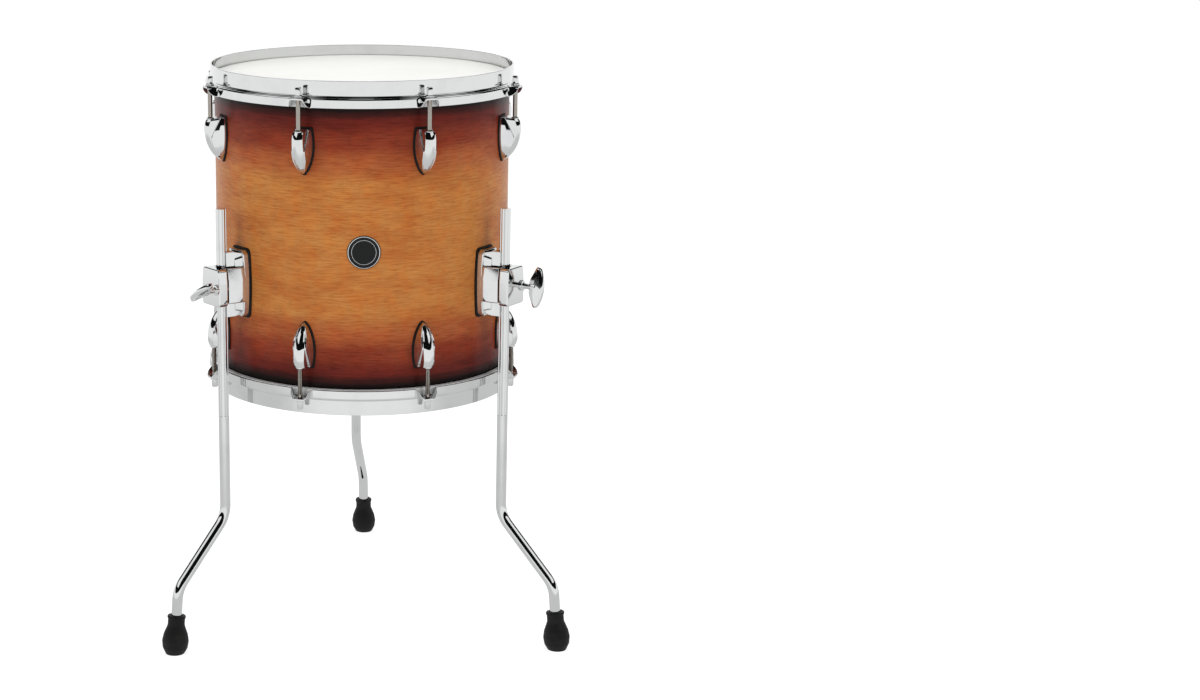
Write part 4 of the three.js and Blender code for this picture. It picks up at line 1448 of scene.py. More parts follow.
@dataclass
class TensionRod:
    """A rod with its washer, its flange and its square key head."""

    radius: float = 2.75 * MM
    point_share: float = 0.8
    end: float = 113 * MM
    washer_under: float = 176.95 * MM
    washer_radius: float = 5.3 * MM
    washer_rise: float = 1.1 * MM
    flange_radius: float = 4.7 * MM
    flange_rise: float = 1.6 * MM
    flange_softening: float = 0.56 * MM
    softening: float = 0.35 * MM
    head_half: float = 2.95 * MM
    head_rise: float = 9.2 * MM
    head_corner: float = 0.7 * MM
    head_levels: tuple[Corner, ...] = (
        (1.0, 1.0, 1.4 * MM),
        (0.96, 1.0, 0.9 * MM),
        (0.72, 1.0, 0.25 * MM),
        (0.5, 0.8, 0.0),
    )
    undercut: Span = (0.1 * MM, 0.02 * MM)
    seam: float = 0.05 * MM
    thread_start: float = 138 * MM
    thread_pitch: float = 1.06 * MM
    thread_depth: float = 0.32 * MM
    thread_reach: dict[End, float] = field(
        default_factory=lambda: {End.BATTER: 141 * MM, End.RESONANT: 171 * MM}
    )
    thread_fades: Span = (1 * MM, 1.5 * MM)
    thread_runout: float = 0.3 * MM
    sides: int = 32
    steps_a_pitch: int = 6

    def round_ring(self, radius: np.ndarray | float, height: float) -> np.ndarray:
        """A round ring of the rod."""
        return around(azimuths(self.sides), radius, height)

    def square_ring(self, half: float, corner: float, height: float) -> np.ndarray:
        """A square ring with round corners, with as many points as a round one."""
        outline = rectangle(half, half, corner, self.sides // 4 - 1)
        points = np.array([(x, y, height) for x, y in outline])
        return points[np.argsort(np.arctan2(points[:, 0], -points[:, 1]) % FULL)]

    def shaft_rings(self, end: End) -> list[np.ndarray]:
        """The shaft's rings: a helical thread up to its reach, then plain."""
        start, reach = self.thread_start, self.thread_reach[end]
        fade_in, fade_out = self.thread_fades
        rings = [
            self.round_ring(self.radius * self.point_share, self.end),
            self.round_ring(self.radius, self.end + fade_in),
            self.round_ring(self.radius, start - fade_in / 2),
        ]
        for height in np.arange(start, reach, self.thread_pitch / self.steps_a_pitch):
            phase = (height / self.thread_pitch - azimuths(self.sides) / FULL) % 1.0
            ramp = min(1.0, (height - start) / fade_in, (reach - height) / fade_out)
            depth = self.thread_depth * (1 - np.abs(2 * phase - 1)) * ramp
            rings.append(self.round_ring(self.radius - depth, height))
        rings.append(self.round_ring(self.radius, reach + self.thread_runout))
        return rings

    def form(self, end: End) -> Form:
        """The whole rod on its own axis."""
        under, washer = self.washer_under, self.washer_under + self.washer_rise
        flange = washer + self.flange_rise
        head = flange + self.head_rise
        wide, soft, round_off = self.washer_radius, self.softening, self.flange_softening
        inwards, upwards = self.undercut
        rings = self.shaft_rings(end)
        for radius, height in (
            (self.radius, under),
            (wide - soft, under),
            (wide, under + soft),
            (wide, washer - soft),
            (wide - soft, washer),
            (self.flange_radius - inwards, washer + upwards),
            (self.flange_radius, washer + soft),
            (self.flange_radius, flange - round_off),
            (self.flange_radius - round_off, flange),
        ):
            rings.append(self.round_ring(radius, height))
        half, corner = self.head_half, self.head_corner
        rings.append(self.square_ring(half, corner, flange + self.seam))
        for width, rounding, drop in self.head_levels:
            rings.append(self.square_ring(half * width, corner * rounding, head - drop))
        return skin(rings)

    def build(self, end: End, index: int, place: Matrix, shop: Workshop) -> None:
        """Hands over one rod.

        Args:
            end: the end of the drum.
            index: the rod's number, from 1.
            place: the rod's axis in the row frame.
            shop: what takes the piece.
        """
        made = self.form(end).moved(place).object(f"{end.value}_rod_{index}_turned")
        node = f"{end.value}_tension_rod_{index}"
        shop.hand_over(shade(made, CAST_ANGLE), f"{end.value}_rod_{index}", Slot.ROD, node)


@dataclass
class Lug:
    """A cast lug: a boat-shaped rib between two creases, on a thin black gasket.

    A level is a share of the lug's length, 0 at its flat end and 1 at its tip.
    """

    gasket: float = 1.9 * MM
    gasket_proud: float = 1.6 * MM
    gasket_layers: tuple[Span, ...] = (
        (0.0, 0.0),
        (1.0 * MM, 0.0),
        (1.6 * MM, 0.25 * MM),
        (1.9 * MM, 0.8 * MM),
    )
    top: float = 140 * MM
    length: float = 52.6 * MM
    half_width: float = 11.3 * MM
    width_power: float = 0.7
    rib_half: float = 7.3 * MM
    rib_power: float = 0.56
    rib_narrowing: float = 0.07
    rise: float = 22.3 * MM
    rise_powers: Span = (2.3, 0.7)
    edge: float = 3.2 * MM
    edge_share: float = 0.6
    softening: float = 2.6 * MM
    softening_share: float = 0.15
    slant: float = 2.4 * MM
    slant_end: float = 0.4
    widest: float = 0.36
    crest: float = 0.19
    crest_fall: float = 0.12
    crest_power: float = 1.5
    end_narrowing: float = 0.19
    crease_end: float = 0.47
    crease_halves: Span = (8.4 * MM, 8.2 * MM)
    crease_limits: Span = (1.02, 0.86)
    crease_rises: Span = (1.7, 0.93)
    floor_rises: Span = (1.1, 0.9)
    bulge_shares: Span = (0.4, 0.45)
    bulge_foot: float = 0.8
    rib_root: float = 1.01
    rib_neck: Span = (0.93, 0.97)
    softenings: tuple[float, ...] = (0.3 * MM, 5 * MM, 0.35 * MM, 0.5 * MM, 1.1 * MM)
    end_rounding: float = 1.3 * MM
    arch_steps: int = 7
    tip_start: float = 0.86
    tip_reach: float = 0.1395
    levels: int = 44
    tip_levels: int = 16
    gasket_levels: Span = (0.9, 0.0995)
    nut_radius: float = 4.6 * MM
    nut_rise: float = 2.3 * MM
    nut_bore: float = 2.95 * MM
    nut_drop: float = 0.5 * MM
    nut_chamfer: float = 0.8 * MM
    nut_softenings: tuple[float, ...] = (0.0, 0.0, 0.2 * MM, 0.3 * MM, 0.3 * MM)
    drill_clearance: float = 0.4 * MM
    drill_depth: float = 29 * MM
    drill_overcut: float = 3 * MM

    @property
    def base(self) -> float:
        """The radius of the gasket's outer face."""
        return SHELL_RADIUS + self.gasket

    def narrowed(self, size: float, level: float, power: float, end_share: float) -> float:
        """A width at one level.

        Args:
            size: the largest width.
            level: the level.
            power: how full the taper to the tip is.
            end_share: how much narrower the flat end is.

        Returns:
            The width there.
        """
        past = (level - self.widest) / (1 - self.widest)
        if past > 0:
            return size * (1 - past**2) ** power
        return size * (1 - end_share * (1 - level / self.widest) ** 2)

    def width(self, level: float) -> float:
        """Half the lug's width at one level."""
        return self.narrowed(self.half_width, level, self.width_power, self.end_narrowing)

    def section(self, level: float) -> np.ndarray:
        """The outline of one level, seen from above: across and out from the shell's axis."""
        half, base = self.width(level), self.base
        rib = self.narrowed(self.rib_half, level, self.rib_power, self.rib_narrowing)
        past = max(0.0, (level - self.crest) / (1 - self.crest))
        before = max(0.0, 1 - level / self.crest)
        steep, full = self.rise_powers
        fall = self.crest_fall * before**self.crest_power
        crown = self.rise * ((1 - past**steep) ** full - fall)
        edge = min(self.edge, crown * self.edge_share)
        shoulder = crown - min(self.softening, crown * self.softening_share)
        merge = min(1.0, level / self.crease_end)
        start, end = self.crease_halves
        least, most = self.crease_limits
        crease_half = blend(start, max(rib * least, min(end, half * most)), merge)
        start, end = self.crease_rises
        crease_rise = blend(edge * start, shoulder * end, merge)
        start, end = self.floor_rises
        floor_rise = blend(edge * start, shoulder * end, merge)
        across, up = self.bulge_shares
        bulge_half = blend(half, crease_half, across)
        bulge_rise = blend(edge * self.bulge_foot, crease_rise, up)
        seat = math.sqrt(max(base**2 - half**2, 0.0))
        neck, neck_rise = self.rib_neck
        places = [
            (half, seat + edge * 0.5),
            (bulge_half, seat + bulge_rise),
            (crease_half, seat + crease_rise),
            (rib * self.rib_root, base + floor_rise),
            (rib * neck, base + shoulder * neck_rise),
        ]
        scale = half / self.half_width
        corners = [(x, y, soft * scale) for (x, y), soft in zip(places, self.softenings)]
        foot, peak = [(0.0, seat, 0.0), (half, seat, 0.0)], (0.0, base + crown, 0.0)
        right = rounded([*foot, *corners, peak], 4, closed=False)[1:-1]
        rib_across, rib_out = right[-1]
        for k in range(1, self.arch_steps + 1):
            inwards = 1 - k / self.arch_steps
            right.append((rib_across * inwards, blend(rib_out, base + crown, 1 - inwards**2)))
        left = [(-across, out) for across, out in right[-2::-1]]
        unders = [half * share for share in np.linspace(-0.75, 0.75, 7)]
        middle = [(across, math.sqrt(base**2 - across**2)) for across in unders]
        return np.array([*right, *left, *middle])

    def ring(self, level: float, shrink: float = 0.0, drop: float = 0.0) -> np.ndarray:
        """The ring of one level, made smaller and lower for the rounding of the flat end."""
        section = self.section(level)
        across = section[:, 0] * (1 - shrink / self.half_width)
        out = self.base + (section[:, 1] - self.base) * (1 - shrink / self.rise)
        tilt = self.slant * max(0.0, 1 - level / self.slant_end)
        lean = np.maximum(0.0, tilt * (out - self.base) / self.rise)
        height = self.top - level * self.length - lean
        return np.stack((across, -out, height - drop), axis=1)

    def form(self) -> Form:
        """The casting at the front of the drum."""
        rings = []
        soft = self.end_rounding
        for angle in np.linspace(0, QUARTER, 5):
            rings.append(self.ring(0.0, soft * (1 - math.sin(angle)), soft * (1 - math.cos(angle))))
        for level in np.linspace(2 * soft / self.length, self.tip_start, self.levels):
            rings.append(self.ring(float(level)))
        for k in range(1, self.tip_levels + 1):
            way = math.sin(QUARTER * k / self.tip_levels)
            rings.append(self.ring(self.tip_start + self.tip_reach * way))
        return skin(rings)

    def nut(self) -> Form:
        """The swivel nut's collar in the flat end, on the rod's axis."""
        high = self.top - self.nut_drop
        low = high - self.nut_rise - self.slant
        bore, outer, chamfer = self.nut_bore, self.nut_radius, self.nut_chamfer
        places = [(bore, low), (outer, low), (outer, high - chamfer), (outer - chamfer, high)]
        places.append((bore, high))
        corners = [(x, y, soft) for (x, y), soft in zip(places, self.nut_softenings)]
        return turned(rounded(corners, 3), 32).moved(shift(y=-ROD_CIRCLE))

    def casting(self) -> Piece:
        """The bored casting with its nut, at the front of the drum."""
        radius = self.nut_radius - self.drill_clearance
        drill = plug(radius, self.top - self.drill_depth, self.top + self.drill_overcut)
        made = self.form().object("lug_seed")
        combine(made, "DIFFERENCE", drill.moved(shift(y=-ROD_CIRCLE)))
        return combine(made, "UNION", self.nut())

    def gasket_form(self) -> Form:
        """The black layer under a lug, a little proud of it."""
        start, reach = self.gasket_levels
        tip = start + reach * np.sin(np.linspace(0, QUARTER, 9))[1:]
        levels = np.concatenate((np.linspace(0.0, start, 26), tip))
        side = [(self.width(float(k)), self.top - float(k) * self.length) for k in levels]
        outline = side + [(-half, height) for half, height in side[::-1]]
        proud = self.gasket_proud
        layers = [(SHELL_RADIUS + lift, margin - proud) for lift, margin in self.gasket_layers]
        return layered(outline[::-1], layers)


@dataclass
class InnerScrew:
    """A pan-head screw with its washer on the inside of the shell."""

    inside: float = 171.8 * MM
    washer_radius: float = 6.2 * MM
    washer_rise: float = 1.2 * MM
    head_radius: float = 4.3 * MM
    head_rise: float = 3 * MM
    shoulder_shares: Span = (0.72, 0.55)
    softenings: tuple[float, ...] = (0.0, 0.2 * MM, 0.4 * MM, 0.1 * MM, 1.3 * MM, 0.8 * MM, 0.0)
    slot_share: float = 0.66
    slot_half: float = 0.55 * MM
    slot_depth: float = 1.6 * MM
    slot_softening: float = 0.1 * MM

    def seed(self, name: str) -> Piece:
        """The screw at the front of the drum, pointing inwards."""
        seat = math.sqrt(self.inside**2 - self.washer_radius**2)
        rim, head, washer = self.washer_radius, self.head_radius, self.washer_rise
        top = washer + self.head_rise
        height, width = self.shoulder_shares
        places = [(0.0, 0.0), (rim, 0.0), (rim, washer), (head, washer)]
        places += [(head, top * height), (head * width, top), (0.0, top)]
        corners = [(x, y, soft) for (x, y), soft in zip(places, self.softenings)]
        inwards = shift(y=-seat) @ about("X", -QUARTER)
        profile = rounded(corners, 3, closed=False)
        made = turned(profile, 24).moved(inwards).object(name)
        outline = rectangle(head * self.slot_share, self.slot_half, self.slot_softening)
        low, high = top - self.slot_depth, top + self.slot_depth
        slot = slab(outline, low, high, self.slot_softening)
        for turn in (0.0, QUARTER):
            combine(made, "DIFFERENCE", slot.moved(inwards @ about("Z", turn)))
        return shade(made, math.radians(35), weigh=True)


@dataclass
class Lugs:
    """All sixteen lugs, their gaskets and the screws that hold them."""

    screw_heights: Span = (127 * MM, 103 * MM)
    lug: Lug = field(default_factory=Lug)
    rod: TensionRod = field(default_factory=TensionRod)
    screw: InnerScrew = field(default_factory=InnerScrew)

    def build(self, copies: RingOfCopies, shop: Workshop) -> None:
        """Hands over every lug and rod, then the gaskets and the screws."""
        pitch = FULL / ROD_COUNT
        seed = self.lug.casting()
        for end in End:
            for i in range(ROD_COUNT):
                azimuth = end.direction * (i + 0.5) * pitch
                station = shop.home @ end.turn @ about("Z", azimuth)
                name = f"{end.value}_lug_{i + 1}"
                casting = settle(link(f"{name}_casting", seed.data.copy()), station)
                shop.hand_over(casting, "drum", Slot.CHROME, name)
                self.rod.build(end, i + 1, station @ shift(y=-ROD_CIRCLE), shop)
        bpy.data.objects.remove(seed)
        for end in End:
            gasket = self.lug.gasket_form().moved(end.turn).object(f"{end.value}_lug_gaskets")
            start = pitch / 2 + (HALF if end is End.RESONANT else 0.0)
            shop.hand_over(copies.spread(gasket, shop.home, start), "drum", Slot.RUBBER)
            screw = self.screw.seed(f"{end.value}_lug_screws")
            heights = [end.direction * height for height in self.screw_heights]
            screws = copies.spread(screw, shop.home, pitch / 2, heights)
            shop.hand_over(screws, "drum", Slot.ROD)


# Legs and their clamps


@dataclass(frozen=True)
class Station:
    """Where one leg stands, and how it and its wing screw are turned."""

    side: str
    azimuth: float
    leg_turn: float
    wing_turn: float


STATIONS = (
    Station("left", math.radians(-54), math.radians(7), math.radians(31)),
    Station("right", math.radians(54), 0.0, math.radians(80)),
    Station("rear", math.radians(181.5), math.radians(-9.5), math.radians(55)),
)


@dataclass
class WingScrew:
    """The screw of a clamp: shank, collar, neck, and the wing across it."""

    radius: float = 3.5 * MM
    engagement: float = 17 * MM
    collar_radius: float = 6.2 * MM
    collar_rise: float = 2.6 * MM
    neck: float = 8.5 * MM
    point: float = 0.6 * MM
    waist: float = 0.3 * MM
    hub: tuple[Span, ...] = ((1.5 * MM, 3 * MM), (0.5 * MM, 9 * MM))
    hub_end: float = 9.5 * MM
    half_span: float = 24.5 * MM
    wing_rise: float = 19 * MM
    tip_rise: float = 12 * MM
    tip_lift: float = 7 * MM
    lift_start: float = 0.22
    crest_power: float = 2.2
    end_start: float = 0.86
    least_end: float = 0.02
    thickness: float = 7.6 * MM
    thinning: float = 0.18
    face_power: float = 0.5
    rim_power: float = 0.7
    stations: int = 41
    sides: int = 28

    def wing(self, under: float) -> Form:
        """The wing, swept from tip to tip, pointing up +Z from the height given."""
        cosine, sine = np.cos(azimuths(self.sides)), np.sin(azimuths(self.sides))
        thick_shape = np.sign(cosine) * np.abs(cosine) ** self.face_power
        high_shape = np.sign(sine) * np.abs(sine) ** self.rim_power
        rings = []
        for k in range(self.stations):
            across = math.sin(HALF * (k / (self.stations - 1) - 0.5))
            share = abs(across)
            fall = (self.wing_rise - self.tip_rise) * share**self.crest_power
            crest = under + self.wing_rise - fall
            lift = smooth_step((share - self.lift_start) / (1 - self.lift_start))
            foot = under + self.tip_lift * lift
            past = max(0.0, (share - self.end_start) / (1 - self.end_start))
            end = max(math.sqrt(max(0.0, 1 - past**2)), self.least_end)
            half_thick = self.thickness / 2 * (1 - self.thinning * share**2) * end
            y = half_thick * thick_shape
            z = (crest + foot) / 2 + (crest - foot) / 2 * end * high_shape
            x = np.full(self.sides, across * self.half_span)
            rings.append(np.stack((x, y, z), axis=1))
        return skin(rings)

    def object(self, name: str, face: float, under: float) -> Piece:
        """The screw along +Z.

        Args:
            name: the piece's name.
            face: the height of the bracket's face, where its thread goes in.
            under: the height of its collar's seat.

        Returns:
            The object.
        """
        r, collar = self.radius, self.collar_radius
        low, neck = face - self.engagement, under + self.collar_rise
        wing_under = neck + self.neck
        corners: list[Corner] = [
            (0.0, low, 0.0),
            (r - self.point, low, 0.2 * MM),
            (r, low + 0.8 * MM, 0.2 * MM),
            (r, under, 0.1 * MM),
            (collar, under, 0.3 * MM),
            (collar, neck - 0.4 * MM, 0.5 * MM),
            (r + 0.4 * MM, neck, 0.5 * MM),
            (r - self.waist, neck + 1.2 * MM, 0.6 * MM),
            (r, wing_under, 1.5 * MM),
        ]
        corners += [(r + out, wing_under + rise, 1.5 * MM) for out, rise in self.hub]
        corners.append((0.0, wing_under + self.hub_end, 0.0))
        made = turned(rounded(corners, 4, closed=False), 40).object(name)
        return combine(made, "UNION", self.wing(wing_under))


@dataclass
class Bracket:
    """The gasket and the casting on the shell, and the cap in front of the leg."""

    drop: float = 51.3 * MM
    height: float = 84 * MM
    half_width: float = 20 * MM
    end_half_width: float = 17.5 * MM
    corner: float = 6 * MM
    bow_shares: tuple[float, ...] = (0.2, 0.35, 0.5, 0.65, 0.8)
    gasket_rise: float = 2 * MM
    gasket_edge: float = 0.6 * MM
    gasket_face: float = 3 * MM
    casting_inset: float = 2 * MM
    pad_layers: tuple[Span, ...] = (
        (0.0, 0.0),
        (5.3 * MM, 0.4 * MM),
        (6.0 * MM, 0.5 * MM),
        (6.4 * MM, 1.1 * MM),
        (6.5 * MM, 1.8 * MM),
    )
    pedestal_rise: float = 15 * MM
    pedestal_half_width: float = 15 * MM
    pedestal_half_height: float = 35 * MM
    pedestal_draft: float = 3.4 * MM
    pedestal_corner: float = 2.5 * MM
    pedestal_shares: tuple[Span, ...] = (
        (1.0, 0.0),
        (0.62, 0.08),
        (0.29, 0.29),
        (0.08, 0.62),
        (0.0, 1.0),
    )
    horn_half_width: float = 12.6 * MM
    horn_draft: float = 0.4
    horn_half_height: float = 39 * MM
    horn_chamfer: float = 3 * MM
    horn_softenings: tuple[float, ...] = (0.5 * MM, 2 * MM, 1.6 * MM, 1.6 * MM)
    block_half_width: float = 17.4 * MM
    block_flare: tuple[Span, ...] = ((0.0, 2.2 * MM), (0.55, 1.8 * MM), (1.0, 0.0))
    block_half_height: float = 21 * MM
    block_taper: float = 2.6 * MM
    block_corner: float = 1.5 * MM
    block_root: float = 5.9 * MM
    sunk: float = 0.3 * MM
    groove_half_width: float = 8.6 * MM
    groove_clearance: float = 0.15 * MM
    groove_reach: float = 8 * MM
    groove_half_height: float = 60 * MM
    cap_inside: float = 209.2 * MM
    clamp_gap: float = 1.6 * MM
    cap_half_width: float = 18.5 * MM
    cap_half_height: float = 22.5 * MM
    cap_thickness: float = 12.8 * MM
    cap_corner: float = 4 * MM
    cap_edge: float = 1.7 * MM
    cap_taper: float = 1.7 * MM
    cap_drop: float = 1.2 * MM
    taper_start: float = 0.25
    taper_softening: float = 6 * MM
    screw_offset: float = 13 * MM
    screw_drop: float = 2.7 * MM
    screw_clearance: float = 0.3 * MM
    screw_end: float = 0.5 * MM
    collar_gap: float = 0.1 * MM
    overcut: float = 4 * MM
    soft: float = 0.7 * MM
    inner_screws: Span = (27 * MM, -27 * MM)
    screw: WingScrew = field(default_factory=WingScrew)

    @property
    def seat(self) -> float:
        """The radius of the gasket's outer face."""
        return SHELL_RADIUS + self.gasket_rise

    @property
    def face(self) -> float:
        """The radius of the clamp block's face."""
        return self.cap_inside - self.clamp_gap

    def outline(self, margin: float) -> Outline:
        """The bowed outline of the bracket, across and along, counter-clockwise."""
        top = self.height / 2 - margin
        end = self.end_half_width - margin
        bow = self.half_width - margin
        side = []
        for share in self.bow_shares:
            across = blend(end, bow, 1 - (2 * share - 1) ** 2)
            side.append((across, -top + 2 * top * share))
        corners: list[Corner] = [(-end, -top, self.corner), (end, -top, self.corner)]
        corners += [(x, y, 0.0) for x, y in side]
        corners += [(end, top, self.corner), (-end, top, self.corner)]
        corners += [(-x, -y, 0.0) for x, y in side]
        return rounded(corners, 6)

    def gasket(self) -> Form:
        """The black layer on the shell, with a soft rim."""
        high, edge = self.seat, self.gasket_edge
        layers = [
            (SHELL_RADIUS, 0.0),
            (high - edge, 0.0),
            (high - edge * HALFWAY, edge * HALFWAY),
            (high, edge),
            (high, edge + self.gasket_face),
        ]
        return layered(self.outline(0.0), layers)

    def shouldered(self, w: float, h: float, taper: float, corner: float) -> Outline:
        """An outline with straight sides below its middle that lean in above it.

        Args:
            w: half its width.
            h: half its height.
            taper: how far each side leans in at the top.
            corner: the rounding of its corners.

        Returns:
            The outline, counter-clockwise.
        """
        bend, turn = h * self.taper_start, self.taper_softening
        corners = [(-w, -h, corner), (w, -h, corner), (w, bend, turn)]
        corners += [(w - taper, h, corner), (taper - w, h, corner), (-w, bend, turn)]
        return rounded(corners)

    def block(self) -> Form:
        """The clamp block, which flares towards the shell."""
        soft, low, high = self.soft, self.seat + self.block_root, self.face
        levels = [(blend(low, high - soft, share), grow) for share, grow in self.block_flare]
        levels += [(high - soft * HALFWAY, -soft * HALFWAY), (high, -soft)]
        rings = []
        for radius, grow in levels:
            w, h = self.block_half_width + grow, self.block_half_height + min(grow, 0.0)
            ring = self.shouldered(w, h, self.block_taper, self.block_corner)
            rings.append([(x, -radius, z) for x, z in ring])
        return skin(rings)

    def pedestal(self) -> Form:
        """The raised middle of the casting, which narrows outwards."""
        high, soft = self.seat + self.pedestal_rise, self.soft
        levels = [(self.seat + self.sunk, 0.0)]
        for back, inwards in self.pedestal_shares:
            levels.append((high - soft * back, self.pedestal_draft + soft * inwards))
        rings = []
        for radius, margin in levels:
            w, h = self.pedestal_half_width - margin, self.pedestal_half_height - margin
            rings.append([(x, -radius, z) for x, z in rectangle(w, h, self.pedestal_corner)])
        return skin(rings)

    def horns(self) -> Form:
        """The upright ridge above and below the clamp, with chamfered ends."""
        h, c = self.horn_half_height, self.horn_chamfer
        root, face = self.seat + self.sunk, self.face
        places = [(root, -h + c), (root + self.pedestal_rise, -h), (face - c, -h), (face, -h + c)]
        half = [(x, y, soft) for (x, y), soft in zip(places, self.horn_softenings)]
        profile = half + [(x, -y, soft) for x, y, soft in half[::-1]]
        form = slab(rounded(profile, 3), -self.horn_half_width, self.horn_half_width, self.soft)
        form = form.moved(Matrix(((0, 0, 1, 0), (-1, 0, 0, 0), (0, 1, 0, 0), (0, 0, 0, 1))))
        form.points[:, 0] *= 1 - self.horn_draft * (-form.points[:, 1] - root) / (face - root)
        return form

    def groove(self, facing: int) -> Form:
        """An upright cut with a V at its bottom that touches the leg's round.

        Args:
            facing: 1 for a cut that opens outwards, -1 for one that opens inwards.

        Returns:
            The form.
        """
        apex = LEG_CIRCLE - facing * (LEG_RADIUS + self.groove_clearance) * math.sqrt(2)
        if facing < 0:
            width = 3 * self.groove_half_width
            outline = [(0.0, -apex), (width, -apex + width), (-width, -apex + width)]
        else:
            width = self.groove_half_width
            end = -(LEG_CIRCLE + LEG_RADIUS + self.groove_reach) - 2 * width
            outline = [(0.0, -apex), (-width, -apex - width), (-width, end)]
            outline += [(width, end), (width, -apex - width)]
        heights = (-self.groove_half_height, self.groove_half_height)
        return skin([[(x, y, z) for x, y in outline] for z in heights])

    def hole(self, low: float, high: float) -> Form:
        """What cuts the wing screw's hole, between two radii."""
        at_screw = shift(self.screw_offset, 0.0, -self.screw_drop) @ OUTWARDS
        return plug(self.screw.radius + self.screw_clearance, low, high).moved(at_screw)

    def casting(self, name: str) -> Piece:
        """The casting: pad, pedestal, horns and clamp block, with the groove and the hole cut."""
        layers = [(self.seat + lift, margin) for lift, margin in self.pad_layers]
        made = layered(self.outline(self.casting_inset), layers).object(name)
        combine(made, "UNION", self.pedestal(), self.horns(), self.block())
        depth = self.face - self.screw.engagement - self.screw_end
        hole = self.hole(depth, self.face + self.overcut)
        return combine(made, "DIFFERENCE", self.groove(1), hole)

    def cap(self, name: str) -> Piece:
        """The cap, with a V inside and a hole for the screw."""
        inside, outside = self.cap_inside, self.cap_inside + self.cap_thickness
        size = (self.cap_half_width, self.cap_half_height, self.cap_taper, self.cap_corner)
        body = slab(self.shouldered(*size), inside, outside, self.cap_edge, 4)
        made = body.moved(shift(z=-self.cap_drop) @ OUTWARDS).object(name)
        hole = self.hole(inside - self.overcut, outside + self.overcut)
        return combine(made, "DIFFERENCE", hole, self.groove(-1))

    def build(self, station: Station, copies: RingOfCopies, shop: Workshop) -> None:
        """Hands over the gasket, casting, cap, wing screw and inner screws of one station."""
        side = station.side
        seed = InnerScrew().seed(f"{side}_bracket_screws")
        heights = [height - self.drop for height in self.inner_screws]
        screws = copies.spread(seed, shop.home, station.azimuth, heights, count=1)
        shop.hand_over(screws, "drum", Slot.ROD)
        place = shop.home @ about("Z", station.azimuth) @ shift(z=-self.drop)
        gasket = shade(self.gasket().moved(place).object(f"{side}_gasket_moulding"))
        shop.hand_over(gasket, "drum", Slot.RUBBER, f"{side}_bracket_gasket")
        casting = settle(self.casting(f"{side}_bracket_casting"), place)
        shop.hand_over(casting, "drum", Slot.CHROME, f"{side}_leg_bracket")
        cap = settle(self.cap(f"{side}_cap_casting"), place)
        shop.hand_over(cap, f"{side}_cap", Slot.CHROME, f"{side}_clamp_cap")
        under = self.cap_inside + self.cap_thickness + self.collar_gap
        screw = self.screw.object(f"{side}_wing_casting", self.face, under)
        at_screw = place @ shift(self.screw_offset, 0.0, -self.screw_drop)
        screw.data.transform(at_screw @ about("Y", -station.wing_turn) @ OUTWARDS)
        shade(screw, math.radians(38))
        shop.hand_over(screw, f"{side}_screw", Slot.CHROME, f"{side}_wing_screw")


